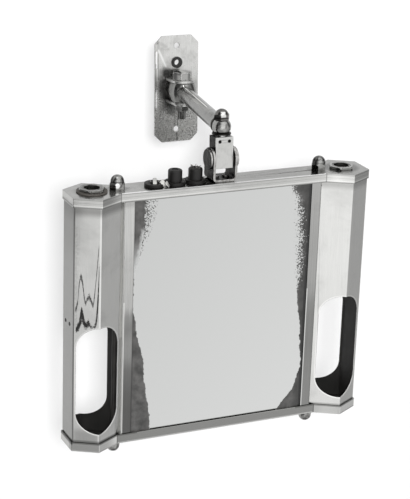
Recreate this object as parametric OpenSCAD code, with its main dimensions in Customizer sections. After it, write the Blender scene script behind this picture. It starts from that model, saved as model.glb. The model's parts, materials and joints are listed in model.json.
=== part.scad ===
/* [Wall bracket] */
// Width of the wall plate
plate_w = 54; // [44:1:80]
// Height of the wall plate
plate_h = 124; // [110:1:180]
// Thickness of the wall plate
plate_t = 3; // [2:0.5:5]
// Cut across each corner of the wall plate
plate_chamfer = 9; // [3:1:14]
// Height of the upper screw hole above the arm
screw_up = 50.5; // [44:0.5:54]
// Depth of the lower screw hole below the arm
screw_down = 47; // [42:0.5:54]
// Bore of the two screw holes
screw_hole_d = 6.5; // [4:0.5:9]
// Height of the cable grommet above the arm
grommet_up = 31; // [31:0.5:36]
// Bore of the cable grommet
grommet_bore = 6.6; // [4:0.2:8]
// Outer diameter of the grommet's collar
grommet_d = 13; // [12:0.5:14]
// Height that the grommet's collar stands proud of the plate
grommet_proud = 1.8; // [1:0.2:4]
// Distance from the face of the plate to the wall bolt
bolt_stand = 16.5; // [16.5:0.1:26]
// Radius of the round end of each bracket ear
ear_r = 14; // [12:0.5:18]
// Thickness of each bracket ear
ear_t = 3; // [2:0.5:5]
// Shank of the wall bolt
bolt_d = 9; // [7:0.5:11]
// Size across the corners of the wall bolt's head
bolt_head_ac = 23.5; // [18:0.5:26]
// Height of the wall bolt's head
bolt_head_h = 9; // [5:0.5:9.5]
// Size across the corners of the nut below the bracket
bolt_nut_ac = 17.6; // [15:0.2:24]
// Height of the nut below the bracket
bolt_nut_h = 6.5; // [4:0.5:9]
// Length of bolt left below the nut
bolt_tail = 10; // [3:1:14]
// Diameter of the washer below the bracket
bolt_washer_d = 22; // [18:0.5:26]
// Thickness of the washer below the bracket
bolt_washer_t = 1.5; // [1:0.1:2.5]

/* [Arm] */
// Length from the wall bolt to the ball
arm_len = 192; // [120:1:300]
// Angle that the arm is swung aside in the rest pose
arm_swing = 11; // [0:1:30]
// Outer diameter of the arm tube
arm_d = 17.4; // [13:0.2:17.8]
// Wall of the arm tube
arm_wall = 1.5; // [1.4:0.1:2.5]
// Radius of the knuckle at its widest
knuckle_r = 16; // [13:0.5:16]
// Height of the knuckle between the ears
knuckle_h = 22; // [18:0.5:26]
// Radius of the knuckle's bulged side
knuckle_bulge_r = 24; // [20:1:40]
// Diameter of the collar at the ball end
collar_d = 19.2; // [18.4:0.2:20]
// Length of the collar at the ball end
collar_len = 3; // [2:0.5:6]
// Distance from the ball's centre to the collar
collar_gap = 10.8; // [10.8:0.2:14]
// Length of the spigots inside the tube
spigot_len = 14; // [8:1:24]

/* [Swivel] */
// Radius of the ball
ball_r = 10; // [9:0.2:12]
// Depth of the ball's flat underside below its centre
ball_low = 5.6; // [5:0.1:6.5]
// Height of the ball's flat top above its centre
ball_high = 7.6; // [7.4:0.1:8]
// Diameter of the swivel stud
stud_d = 7; // [5:0.5:8]
// Diameter of the neck on top of the block
neck_d = 12.6; // [10:0.2:16]
// Height of the neck on top of the block
neck_h = 1.9; // [1:0.1:4]
// Diameter of the two washers under the ball
swivel_washer_d = 20.4; // [17:0.2:20.6]
// Thickness of each washer under the ball
swivel_washer_t = 1; // [0.6:0.1:1.6]
// Size across the corners of the domed nut
dome_ac = 17.6; // [15:0.2:22]
// Height of the domed nut's hexagon
dome_hex_h = 6; // [4:0.5:8]
// Height of the whole domed nut
dome_h = 11.4; // [10:0.2:16]
// Width of the swivel block
block_w = 20; // [16:0.5:24]
// Depth of the swivel block with its front plate
block_d = 16.8; // [15.4:0.2:20]
// Height of the swivel block above the tilt pin
block_up = 24; // [20:0.5:30]
// Depth of the swivel block below the tilt pin
block_down = 9.5; // [8:0.5:12]
// Thickness of the plate on the block's front
block_plate_t = 1.6; // [1:0.1:2.5]
// Diameter of the heads of the two block screws
block_screw_d = 2.8; // [2:0.1:3.6]
// Distance between the two block screws
block_screw_pitch = 10.8; // [8:0.2:13]
// Distance of the block screws below the block's top
block_screw_drop = 4.6; // [3:0.2:6]
// Length of the block screws
block_screw_len = 7; // [4:0.5:9]

/* [Tilt yoke] */
// Height of the tilt pin above the top tray
pin_up = 23; // [22:0.5:32]
// Clear width between the yoke's ears
yoke_gap = 22; // [21.2:0.2:28]
// Thickness of the yoke's strap
yoke_t = 2.8; // [2:0.1:4]
// Width of the yoke's strap
yoke_strap_w = 24; // [14:0.5:25]
// Radius of the yoke's round ears
yoke_ear_r = 12.5; // [11.5:0.5:15]
// Outer bend radius of the yoke
yoke_bend_r = 5; // [4:0.2:6]
// Diameter of the tilt pin
pin_d = 6; // [4:0.5:8]
// Diameter of the tilt pin's head and of its nut
pin_head_d = 22; // [9:0.5:23]
// Thickness of the tilt pin's head and of its nut
pin_head_t = 2.2; // [1.5:0.1:4]
// Diameter of the two friction washers
friction_washer_d = 15; // [12:0.5:18]
// Diameter of the yoke's fixing screws
yoke_screw_d = 4; // [3:0.5:5]
// Distance between the yoke's fixing screws
yoke_screw_pitch = 11; // [10:0.5:13]
// Length of the stiffening plate below the top tray
stiffener_len = 52; // [40:1:80]
// Thickness of the stiffening plate
stiffener_t = 2.5; // [1.5:0.1:4]
// Angle that the head is tipped forward in the rest pose
head_tilt = 3; // [0:0.5:12]

/* [Head] */
// Height of the head over both trays
head_h = 280; // [260:1:340]
// Width of each lamp housing's hexagon between its side flats
hex_w = 52; // [50:0.5:56]
// Depth of each hexagon between its front and back edges
hex_d = 63; // [56:0.5:72]
// Depth of the side flats and of the middle of the head
hex_flat = 32.8; // [32:0.2:40]
// Height of the turned rim of each tray
rim_h = 10; // [6:0.5:16]
// Sheet thickness of the trays
tray_t = 1.2; // [0.8:0.1:1.6]
// Gap between a tray's rim and what stands inside it
rim_fit = 0.3; // [0.1:0.05:0.5]
// Gap between each side channel and the hexagon beside it
rod_gap = 5; // [4:0.1:8]
// Sheet thickness of the lamp housings
housing_t = 1.2; // [0.8:0.1:2]
// Width of the long windows
window_w = 47; // [36:0.5:47]
// Height of the long windows
window_h = 120; // [80:1:125]
// Height of the windows' lower ends above the underside
window_rise = 20; // [14:1:40]
// Distance of the windows' middle line from the hexagon's front edge, towards the mirror
window_shift = 1.7; // [0:0.1:2]

/* [Mirror] */
// Width of glass between the side channels
sight_w = 204; // [177:1:281]
// Width of the side channels
channel_w = 11; // [10:0.5:12]
// Sheet thickness of the side channels
channel_t = 1.2; // [0.8:0.1:1.6]
// Thickness of the mirror glass
glass_t = 4; // [3:0.5:6]
// Width of glass held behind each channel
glass_lap = 8; // [6:0.5:8.5]
// Gap above and below the glass
glass_play = 0.4; // [0.2:0.1:1]
// Thickness of the board behind the glass
board_t = 3; // [2:0.5:5]
// Thickness of the back panel
back_t = 1.2; // [0.8:0.1:2]
// Width of the two wooden battens
batten_w = 10; // [8:0.5:10]

/* [Tie rods] */
// Diameter of the tie rods
rod_d = 6; // [4.5:0.5:6]
// Size across the corners of the cap nuts
cap_ac = 17; // [14:0.5:18]
// Height of the cap nuts' hexagons
cap_hex_h = 7; // [5:0.5:9]
// Height of the whole cap nuts
cap_h = 15.5; // [13:0.5:18]

/* [Lamps] */
// Diameter of the threaded nipples in the top tray
nipple_d = 20; // [16:0.5:22]
// Bore of the threaded nipples
nipple_bore = 16.5; // [12:0.5:17.5]
// Length of the nipples below the tray
nipple_down = 10; // [6:0.5:14]
// Size across the corners of the nipple nuts
nipple_nut_ac = 29; // [26:0.5:34]
// Thickness of the nipple nuts
nipple_nut_t = 3; // [2:0.5:6]
// Diameter of the left nipple's fibre washer
fibre_washer_d = 32; // [28:0.5:36]
// Thickness of the left nipple's fibre washer
fibre_washer_t = 1.5; // [1:0.1:3]
// Diameter of the lamp holders
holder_d = 34; // [28:0.5:38]
// Height of the lamp holders
holder_h = 42; // [34:1:50]
// Diameter of the cap that plugs into the holder
lamp_cap_d = 22; // [18:0.5:24]
// Length of the cap that plugs into the holder
lamp_cap_len = 18; // [12:0.5:24]
// Diameter of the tubular lamps
lamp_d = 28; // [24:0.5:34]
// Length of the tubular lamps' glass
lamp_len = 74; // [40:1:76]

/* [Cable bushes] */
// Distance from the yoke to the nearest bush
bush_x = 29; // [26:0.5:34]
// Distance between the three bushes
bush_pitch = 23; // [22:0.5:26]
// Diameter of the bushes
bush_d = 15; // [12:0.5:18]
// Height of the bushes above the tray
bush_h = 15.5; // [10:0.5:22]
// Rounding of the bushes' shoulders
bush_round = 2; // [1:0.5:3]
// Diameter of the bushes' flanges
bush_flange_d = 21.5; // [19:0.5:22]
// Thickness of the bushes' flanges
bush_flange_t = 3; // [2:0.5:4]
// Bore of the bushes
bush_bore = 7; // [5:0.5:9]
// Diameter of the metal ferrule left in the open bush
ferrule_d = 9.6; // [8:0.2:11]
// Height of the metal ferrule above the tray
ferrule_h = 5; // [3.5:0.5:8]
// Height and depth of the ceramic terminal block
terminal_size = 13; // [10:0.5:14]

/* [Hidden] */
// Overrun of every cut past the face it leaves
cut = 1;
// Radial clearance of parts that are screwed or pushed together
fit = 0.15;
// Radial clearance of the three joints
run_fit = 0.05;
// Gap between the knuckle and each ear, and between the ball and what holds it
joint_play = 0.1;
// Distance that the tie rods stand clear of the channels
rod_clear = 0.3;
// Depth of the spigots, nuts and screw ends that stay hidden
bush_spigot_h = 4;
bush_spigot_wall = 2.5;
terminal_len = 2 * bush_pitch + terminal_size;
terminal_drop = 18;
terminal_hole_d = 4.5;
terminal_screw_d = 3.6;
terminal_screw_depth = 5;
stub_d = 6.6;
stub_down = 12;
stub_below_rim = 1;
ferrule_wall = 0.9;
yoke_screw_head_d = 7;
yoke_screw_head_h = 2;
yoke_nut_ac = 8.1;
yoke_nut_h = 3.2;
yoke_screw_tail = 1.5;
rod_in_nut = 9;
holder_neck_d = 27;
holder_neck_h = 12;
holder_wall = 4.5;
lamp_end_r = 9;
slot_w = 1.4;
slot_depth = 1.1;
block_screw_shank_d = 1.8;
nut_chamfer = 1.2;
grommet_neck_wall = 1.6;
eased = 0.6;
lamp_neck_h = 1;

head_w = sight_w + 2 * (channel_w + rod_gap + hex_w);
head_top = head_h / 2;
head_base = -head_h / 2;
hex_x = head_w / 2 - hex_w / 2;
hex_slope = atan((hex_d - hex_flat) / hex_w);
bar_half = hex_flat / 2;
housing_inset = tray_t + rim_fit;
inside_h = head_h - 2 * tray_t;
window_mid = head_base + window_rise + window_h / 2;
channel_half = bar_half - tray_t - rim_fit;
channel_x = sight_w / 2;
channel_out = channel_x + channel_w;
rod_x = channel_out + rod_clear + rod_d / 2;
glass_w = sight_w + 2 * glass_lap;
glass_h = inside_h - 2 * glass_play;
glass_front = -channel_half + channel_t;
board_front = glass_front + glass_t;
batten_front = board_front + board_t;
back_front = channel_half - channel_t - back_t;
pin_z = head_top + pin_up;
block_bottom = -block_down;
pivot_drop = ball_low + joint_play + 2 * swivel_washer_t + neck_h + block_up;
ear_z = knuckle_h / 2 + joint_play;
bolt_y = -plate_t - bolt_stand;
bolt_end = -ear_z - ear_t - bolt_washer_t - bolt_nut_h - bolt_tail;
arm_bore = arm_d - 2 * arm_wall;
spigot_d = arm_bore - 2 * fit;
arm_near = collar_gap + collar_len;
arm_far = arm_len - knuckle_r + eased;
yoke_half = yoke_gap / 2 + yoke_t;
friction_washer_t = (yoke_gap - block_w) / 2;
bushes = [for (i = [0:2]) -bush_x - i * bush_pitch];
screw_heights = [screw_up, -screw_down];
$fn = 64;

// Places in the assembly

module at_ball() {
    translate([-arm_len * sin(arm_swing), bolt_y - arm_len * cos(arm_swing), 0]) children();
}

// Along the arm: +X runs from the ball towards the wall bolt
module on_arm() {
    at_ball() rotate([0, 0, 90 - arm_swing]) children();
}

// Swivel block: its origin is the tilt pin
module on_block() {
    at_ball() translate([0, 0, -pivot_drop]) children();
}

// Head: its origin is the middle of the head
module on_head() {
    on_block() rotate([head_tilt, 0, 0]) translate([0, 0, -pin_z]) children();
}

// Shapes that repeat

module hexagon(ac, h) {
    cylinder(d = ac, h = h, $fn = 6);
}

// Six-sided nut with both rims of its corners turned off
module nut(ac, h, bore) {
    difference() {
        intersection() {
            hexagon(ac, h);
            rotate_extrude() polygon([[0, 0], [ac / 2 - nut_chamfer, 0], [ac / 2, nut_chamfer],
                [ac / 2, h - nut_chamfer], [ac / 2 - nut_chamfer, h], [0, h]]);
        }
        translate([0, 0, -cut]) cylinder(d = bore, h = h + 2 * cut);
    }
}

// Hexagon below a dome, with a blind bore from below
module cap_nut(ac, hex_h, h, bore, depth) {
    flat = ac * cos(30);
    dome_r = flat / 2 - eased / 2;
    difference() {
        union() {
            intersection() {
                hexagon(ac, hex_h);
                rotate_extrude() polygon([[0, 0], [ac / 2, 0], [ac / 2, hex_h - nut_chamfer],
                    [ac / 2 - nut_chamfer, hex_h], [0, hex_h]]);
            }
            intersection() {
                cylinder(d = flat, h = h);
                translate([0, 0, h - dome_r]) union() {
                    sphere(r = dome_r);
                    mirror([0, 0, 1]) cylinder(r = dome_r, h = h - dome_r - eased);
                }
            }
        }
        translate([0, 0, -cut]) cylinder(d = bore, h = depth + cut);
    }
}

module round_plate(d, t, bore) {
    difference() {
        cylinder(d = d, h = t);
        translate([0, 0, -cut]) cylinder(d = bore, h = t + 2 * cut);
    }
}

// Hexagonal outline of a lamp housing, drawn in by a distance square to its sides
module hex_outline(inset) {
    half_w = hex_w / 2 - inset;
    tip = hex_d / 2 - inset / cos(hex_slope);
    shoulder = tip - half_w * tan(hex_slope);
    polygon([[half_w, -shoulder], [half_w, shoulder], [0, tip],
        [-half_w, shoulder], [-half_w, -shoulder], [0, -tip]]);
}

// Two hexagons joined by a straight bar
module tray_outline(inset) {
    for (side = [-1, 1]) translate([side * hex_x, 0]) hex_outline(inset);
    square([2 * hex_x, hex_flat - 2 * inset], center = true);
}

// Rectangle with round lower corners, standing on the origin
module u_outline(w, h, r) {
    translate([-w / 2, r]) square([w, h - r]);
    translate([-w / 2 + r, 0]) square([w - 2 * r, h]);
    for (side = [-1, 1]) translate([side * (w / 2 - r), r]) circle(r = r);
}

module obround(w, h) {
    square([w, h - w], center = true);
    for (side = [-1, 1]) translate([0, side * (h - w) / 2]) circle(d = w);
}

// Wall bracket

module wall_plate() {
    half_w = plate_w / 2;
    half_h = plate_h / 2;
    color("lightgray") difference() {
        rotate([90, 0, 0]) linear_extrude(plate_t) polygon([
            [half_w - plate_chamfer, -half_h], [half_w, plate_chamfer - half_h],
            [half_w, half_h - plate_chamfer], [half_w - plate_chamfer, half_h],
            [plate_chamfer - half_w, half_h], [-half_w, half_h - plate_chamfer],
            [-half_w, plate_chamfer - half_h], [plate_chamfer - half_w, -half_h]]);
        for (z = screw_heights) translate([0, cut, z]) rotate([90, 0, 0])
            cylinder(d = screw_hole_d, h = plate_t + 2 * cut);
        translate([0, cut, grommet_up]) rotate([90, 0, 0])
            cylinder(d = grommet_bore + 2 * grommet_neck_wall + 2 * fit, h = plate_t + 2 * cut);
    }
}

// Ear brazed to the plate: straight flanks and a round end about the bolt
module bracket_ear() {
    color("silver") translate([0, bolt_y, 0]) difference() {
        union() {
            cylinder(r = ear_r, h = ear_t);
            translate([-ear_r, 0, 0]) cube([2 * ear_r, bolt_stand, ear_t]);
        }
        translate([0, 0, -cut]) cylinder(d = bolt_d + 2 * fit, h = ear_t + 2 * cut);
    }
}

module bracket_ear_top() {
    translate([0, 0, ear_z]) bracket_ear();
}

module bracket_ear_bottom() {
    translate([0, 0, -ear_z - ear_t]) bracket_ear();
}

module cable_grommet() {
    neck = grommet_bore + 2 * grommet_neck_wall;
    color("dimgray") translate([0, 0, grommet_up]) rotate([90, 0, 0]) difference() {
        union() {
            cylinder(d = neck, h = plate_t + grommet_proud);
            translate([0, 0, plate_t]) cylinder(d = grommet_d, h = grommet_proud);
        }
        translate([0, 0, -cut]) cylinder(d = grommet_bore, h = plate_t + grommet_proud + 2 * cut);
    }
}

module wall_bolt() {
    color("gray") translate([0, bolt_y, 0]) {
        translate([0, 0, ear_z + ear_t]) nut(bolt_head_ac, bolt_head_h, 0);
        translate([0, 0, bolt_end]) cylinder(d = bolt_d, h = ear_z + ear_t - bolt_end + bolt_head_h / 2);
    }
}

module wall_bolt_washer() {
    color("silver") translate([0, bolt_y, -ear_z - ear_t - bolt_washer_t])
        round_plate(bolt_washer_d, bolt_washer_t, bolt_d + 2 * fit);
}

module wall_bolt_nut() {
    color("gray") translate([0, bolt_y, -ear_z - ear_t - bolt_washer_t - bolt_nut_h])
        nut(bolt_nut_ac, bolt_nut_h, bolt_d + 2 * fit);
}

// Arm

// Barrel with a bulged side, grown by a distance all round
module barrel(grow) {
    translate([arm_len, 0, 0]) rotate_extrude() intersection() {
        translate([knuckle_r - knuckle_bulge_r, 0]) circle(r = knuckle_bulge_r + grow, $fn = 128);
        translate([0, -knuckle_h / 2 - grow]) square([knuckle_r + grow, knuckle_h + 2 * grow]);
    }
}

// Barrel bored for the wall bolt, and its spigot in the tube
module wall_knuckle() {
    color("silver") on_arm() difference() {
        union() {
            barrel(0);
            translate([arm_far - spigot_len, 0, 0]) rotate([0, 90, 0])
                cylinder(d = spigot_d, h = spigot_len + knuckle_r / 2);
        }
        translate([arm_len, 0, -knuckle_h / 2 - cut])
            cylinder(d = bolt_d + 2 * run_fit, h = knuckle_h + 2 * cut);
    }
}

// Tube, coped at the far end to the bulge of the knuckle
module arm_tube() {
    color("silver") on_arm() difference() {
        translate([arm_near, 0, 0]) rotate([0, 90, 0]) cylinder(d = arm_d, h = arm_len - arm_near);
        translate([arm_near - cut, 0, 0]) rotate([0, 90, 0])
            cylinder(d = arm_bore, h = arm_len - arm_near + 2 * cut);
        barrel(fit);
    }
}

module arm_collar() {
    color("silver") on_arm() translate([collar_gap, 0, 0]) rotate([0, 90, 0])
        round_plate(collar_d, collar_len, spigot_d + 2 * fit);
}

// Ball with flat ends, bored for the stud, and its spigot in the tube
module arm_ball() {
    color("silver") on_arm() difference() {
        union() {
            intersection() {
                sphere(r = ball_r);
                translate([-ball_r, -ball_r, -ball_low]) cube([2 * ball_r, 2 * ball_r, ball_low + ball_high]);
            }
            rotate([0, 90, 0]) cylinder(d = spigot_d, h = arm_near + spigot_len);
        }
        translate([0, 0, -ball_r]) cylinder(d = stud_d + 2 * run_fit, h = 2 * ball_r);
        translate([0, 0, -ball_r - ball_low]) cylinder(r = collar_gap - fit, h = ball_r);
    }
}

// Swivel block

module swivel_block() {
    body_d = block_d - block_plate_t;
    screw_z = block_up - block_screw_drop;
    color("dimgray") on_block() difference() {
        translate([-block_w / 2, block_plate_t - block_d / 2, block_bottom])
            cube([block_w, body_d, block_up + block_down]);
        translate([-block_w / 2 - cut, 0, 0]) rotate([0, 90, 0])
            cylinder(d = pin_d + 2 * run_fit, h = block_w + 2 * cut);
        translate([0, 0, pin_d]) cylinder(d = stud_d + 2 * fit, h = block_up);
        for (side = [-1, 1])
            translate([side * block_screw_pitch / 2, block_screw_len - block_d / 2, screw_z])
                rotate([90, 0, 0]) cylinder(d = block_screw_shank_d + 2 * fit, h = block_screw_len + cut);
    }
}

module block_front_plate() {
    screw_z = block_up - block_screw_drop;
    color("lightgray") on_block() difference() {
        translate([-block_w / 2, -block_d / 2, block_bottom])
            cube([block_w, block_plate_t, block_up + block_down]);
        for (side = [-1, 1])
            translate([side * block_screw_pitch / 2, block_plate_t + cut - block_d / 2, screw_z])
                rotate([90, 0, 0]) cylinder(d = block_screw_d + 2 * fit, h = block_plate_t + 2 * cut);
    }
}

module block_screws() {
    color("black") on_block() for (side = [-1, 1])
        translate([side * block_screw_pitch / 2, -block_d / 2, block_up - block_screw_drop])
            rotate([-90, 0, 0]) difference() {
                union() {
                    cylinder(d = block_screw_d, h = block_plate_t);
                    cylinder(d = block_screw_shank_d, h = block_screw_len - fit);
                }
                translate([-block_screw_d, -slot_w / 4, -cut])
                    cube([2 * block_screw_d, slot_w / 2, cut + slot_depth / 2]);
            }
}

// Stud screwed into the block, with its neck on the block's top
module swivel_stud() {
    color("silver") on_block() {
        translate([0, 0, block_up]) cylinder(d = neck_d, h = neck_h);
        translate([0, 0, pin_d + fit])
            cylinder(d = stud_d, h = pivot_drop + ball_high + joint_play + dome_hex_h - pin_d - fit);
    }
}

module swivel_washers() {
    color("dimgray") on_block() for (i = [0, 1])
        translate([0, 0, block_up + neck_h + i * swivel_washer_t])
            round_plate(swivel_washer_d - i * swivel_washer_t, swivel_washer_t, stud_d + 2 * fit);
}

module dome_nut() {
    color("gray") on_block() translate([0, 0, pivot_drop + ball_high + joint_play])
        cap_nut(dome_ac, dome_hex_h, dome_h, stud_d + 2 * fit, dome_hex_h + fit);
}

// Tilt yoke

// Strap bent into a U whose legs end in round ears
module tilt_yoke() {
    ear_top = pin_up + yoke_ear_r;
    color("dimgray") on_head() translate([0, 0, head_top]) difference() {
        intersection() {
            translate([0, yoke_ear_r, 0]) rotate([90, 0, 0]) linear_extrude(2 * yoke_ear_r)
                u_outline(2 * yoke_half, ear_top, yoke_bend_r);
            translate([-yoke_half, 0, 0]) rotate([90, 0, 90]) linear_extrude(2 * yoke_half) union() {
                translate([-yoke_strap_w / 2, 0]) square([yoke_strap_w, pin_up]);
                translate([0, pin_up]) circle(r = yoke_ear_r);
            }
        }
        translate([0, yoke_ear_r + cut, yoke_t]) rotate([90, 0, 0]) linear_extrude(2 * yoke_ear_r + 2 * cut)
            u_outline(yoke_gap, ear_top, yoke_bend_r - yoke_t);
        translate([-yoke_half - cut, 0, pin_up]) rotate([0, 90, 0])
            cylinder(d = pin_d + 2 * fit, h = 2 * yoke_half + 2 * cut);
        for (side = [-1, 1]) translate([side * yoke_screw_pitch / 2, 0, -cut])
            cylinder(d = yoke_screw_d + 2 * fit, h = yoke_t + 2 * cut);
    }
}

// Pin with a slotted round head on the left
module tilt_pin() {
    color("silver") on_head() translate([0, 0, pin_z]) rotate([0, 90, 0]) difference() {
        union() {
            translate([0, 0, -yoke_half - pin_head_t]) cylinder(d = pin_head_d, h = pin_head_t);
            translate([0, 0, -yoke_half - pin_head_t / 2])
                cylinder(d = pin_d, h = 2 * yoke_half + 3 * pin_head_t / 2);
        }
        translate([-pin_head_d, -slot_w / 2, -yoke_half - pin_head_t - cut])
            cube([2 * pin_head_d, slot_w, cut + slot_depth]);
    }
}

module tilt_pin_nut() {
    color("silver") on_head() translate([yoke_half, 0, pin_z]) rotate([0, 90, 0])
        round_plate(pin_head_d, pin_head_t, pin_d + 2 * fit);
}

module friction_washers() {
    color("saddlebrown") on_head() for (side = [-1, 1])
        translate([side > 0 ? block_w / 2 : -yoke_gap / 2, 0, pin_z]) rotate([0, 90, 0])
            round_plate(friction_washer_d, friction_washer_t, pin_d + 2 * fit);
}

module yoke_screws() {
    low = head_top - tray_t - stiffener_t - yoke_nut_h - yoke_screw_tail;
    color("silver") on_head() for (side = [-1, 1]) translate([side * yoke_screw_pitch / 2, 0, 0])
        difference() {
            union() {
                translate([0, 0, head_top + yoke_t]) cylinder(d = yoke_screw_head_d, h = yoke_screw_head_h);
                translate([0, 0, low]) cylinder(d = yoke_screw_d, h = head_top + yoke_t - low + eased);
            }
            translate([-yoke_screw_head_d, -slot_w / 2, head_top + yoke_t + yoke_screw_head_h - slot_depth])
                cube([2 * yoke_screw_head_d, slot_w, slot_depth + cut]);
        }
}

module yoke_screw_nuts() {
    color("silver") on_head() for (side = [-1, 1])
        translate([side * yoke_screw_pitch / 2, 0, head_top - tray_t - stiffener_t - yoke_nut_h])
            nut(yoke_nut_ac, yoke_nut_h, yoke_screw_d + 2 * fit);
}

module yoke_stiffener() {
    depth = back_front - batten_front;
    low = head_top - tray_t - stiffener_t;
    color("gray") on_head() difference() {
        translate([-stiffener_len / 2, batten_front, low])
            cube([stiffener_len, depth, stiffener_t]);
        for (side = [-1, 1]) translate([side * yoke_screw_pitch / 2, 0, low - cut])
            cylinder(d = yoke_screw_d + 2 * fit, h = stiffener_t + 2 * cut);
        translate([-bush_x, 0, low - cut])
            cylinder(d = bush_flange_d, h = stiffener_t + 2 * cut);
    }
}

// Trays

// Shallow pan with a turned rim, open below
module tray() {
    difference() {
        linear_extrude(rim_h) tray_outline(0);
        translate([0, 0, -cut]) linear_extrude(rim_h - tray_t + cut) tray_outline(tray_t);
        for (side = [-1, 1]) translate([side * rod_x, 0, 0]) cylinder(d = rod_d + 2 * fit, h = rim_h + cut);
    }
}

module top_tray() {
    color("gainsboro") on_head() difference() {
        translate([0, 0, head_top - rim_h]) tray();
        translate([0, 0, head_top - rim_h]) {
            for (side = [-1, 1]) translate([side * hex_x, 0, 0])
                cylinder(d = nipple_d + 2 * fit, h = rim_h + cut);
            for (x = bushes) translate([x, 0, 0])
                cylinder(d = bush_bore + 2 * bush_spigot_wall + 2 * fit, h = rim_h + cut);
            for (side = [-1, 1]) translate([side * yoke_screw_pitch / 2, 0, 0])
                cylinder(d = yoke_screw_d + 2 * fit, h = rim_h + cut);
        }
    }
}

module bottom_tray() {
    color("gainsboro") on_head() translate([0, 0, head_base + rim_h]) mirror([0, 0, 1]) tray();
}

// Lamp housings

// Outline of a housing for the mirror's right side, whose two slanted walls run on to the side channel
module housing_outline(inset, reach) {
    half_w = hex_w / 2 - inset;
    tip = hex_d / 2 - inset / cos(hex_slope);
    shoulder = tip - half_w * tan(hex_slope);
    end = tip - reach * tan(hex_slope);
    polygon([[half_w, -shoulder], [half_w, shoulder], [0, tip], [-reach, end], [-reach, -end], [0, -tip]]);
}

// Sheet folded round five sides and closed by the side channel, with a long window from front to back
module lamp_housing(side) {
    reach = hex_w / 2 + rod_gap - rod_clear;
    color("silver") on_head() mirror([side < 0 ? 1 : 0, 0, 0]) translate([hex_x, 0, 0]) difference() {
        translate([0, 0, head_base + tray_t]) linear_extrude(inside_h) difference() {
            housing_outline(housing_inset, reach);
            housing_outline(housing_inset + housing_t, reach + cut);
        }
        translate([-window_shift, hex_d / 2, window_mid]) rotate([90, 0, 0]) linear_extrude(hex_d)
            obround(window_w, window_h);
    }
}

module lamp_housing_left() {
    lamp_housing(-1);
}

module lamp_housing_right() {
    lamp_housing(1);
}

// Mirror and its box

// Channel whose two flanges hold the glass in front and the panel behind
module side_channel(side) {
    color("silver") on_head() translate([0, 0, head_base + tray_t]) linear_extrude(inside_h)
        mirror([side < 0 ? 1 : 0, 0]) translate([channel_x, -channel_half]) difference() {
            square([channel_w, 2 * channel_half]);
            translate([-cut, channel_t])
                square([channel_w - channel_t + cut, 2 * (channel_half - channel_t)]);
        }
}

module side_channel_left() {
    side_channel(-1);
}

module side_channel_right() {
    side_channel(1);
}

module sheet(front, t) {
    on_head() translate([-glass_w / 2, front, -glass_h / 2]) cube([glass_w, t, glass_h]);
}

module mirror_glass() {
    color("whitesmoke") sheet(glass_front, glass_t);
}

module backing_board() {
    color("peru") sheet(board_front, board_t);
}

module back_panel() {
    color("silver") sheet(back_front, back_t);
}

module glass_battens() {
    color("burlywood") on_head() for (side = [-1, 1])
        translate([side > 0 ? glass_w / 2 - batten_w : -glass_w / 2, batten_front, -glass_h / 2])
            cube([batten_w, back_front - batten_front, glass_h]);
}

// Tie rods

module tie_rods() {
    color("gray") on_head() for (side = [-1, 1])
        translate([side * rod_x, 0, head_base - rod_in_nut]) cylinder(d = rod_d, h = head_h + 2 * rod_in_nut);
}

module cap_nuts() {
    for (side = [-1, 1]) translate([side * rod_x, 0, head_top])
        cap_nut(cap_ac, cap_hex_h, cap_h, rod_d + 2 * fit, rod_in_nut + fit);
}

module cap_nuts_top() {
    color("silver") on_head() cap_nuts();
}

module cap_nuts_bottom() {
    color("silver") on_head() mirror([0, 0, 1]) cap_nuts();
}

// Lamps

module lamp_nipples() {
    color("gray") on_head() for (side = [-1, 1]) {
        washer = side < 0 ? fibre_washer_t : 0;
        translate([side * hex_x, 0, head_top - tray_t - nipple_down])
            round_plate(nipple_d, nipple_down + tray_t + washer + nipple_nut_t, nipple_bore);
    }
}

module nipple_nuts() {
    color("silver") on_head() for (side = [-1, 1]) {
        washer = side < 0 ? fibre_washer_t : 0;
        translate([side * hex_x, 0, head_top + washer])
            nut(nipple_nut_ac, nipple_nut_t, nipple_d + 2 * fit);
    }
}

module fibre_washer() {
    color("dimgray") on_head() translate([-hex_x, 0, head_top])
        round_plate(fibre_washer_d, fibre_washer_t, nipple_d + 2 * fit);
}

// Holder: a neck on the nipple, a shoulder and an open cup below
module lamp_holders() {
    cup_d = lamp_cap_d + 2 * fit;
    color("ivory") on_head() for (side = [-1, 1])
        translate([side * hex_x, 0, head_top - tray_t - holder_h]) rotate_extrude() polygon([
            [cup_d / 2, 0], [holder_d / 2, 0], [holder_d / 2, holder_h - holder_neck_h],
            [holder_neck_d / 2, holder_h - holder_neck_h / 2], [holder_neck_d / 2, holder_h],
            [nipple_d / 2 + fit, holder_h], [nipple_d / 2 + fit, holder_h - nipple_down - fit],
            [0, holder_h - nipple_down - fit], [0, lamp_cap_len + fit], [cup_d / 2, lamp_cap_len + fit]]);
}

module lamp_caps() {
    color("gold") on_head() for (side = [-1, 1])
        translate([side * hex_x, 0, head_top - tray_t - holder_h - lamp_neck_h])
            cylinder(d = lamp_cap_d, h = lamp_cap_len + lamp_neck_h);
}

// Tubular lamp with a rounded lower end
module lamp_bulbs() {
    color("white") on_head() for (side = [-1, 1])
        translate([side * hex_x, 0, head_top - tray_t - holder_h - lamp_neck_h - lamp_len]) rotate_extrude()
            intersection() {
                union() {
                    translate([0, lamp_end_r]) square([lamp_d / 2, lamp_len - lamp_end_r]);
                    square([lamp_d / 2 - lamp_end_r, lamp_len]);
                    translate([lamp_d / 2 - lamp_end_r, lamp_end_r]) circle(r = lamp_end_r);
                }
                square([lamp_d / 2, lamp_len]);
            }
}

// Cable bushes

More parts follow.
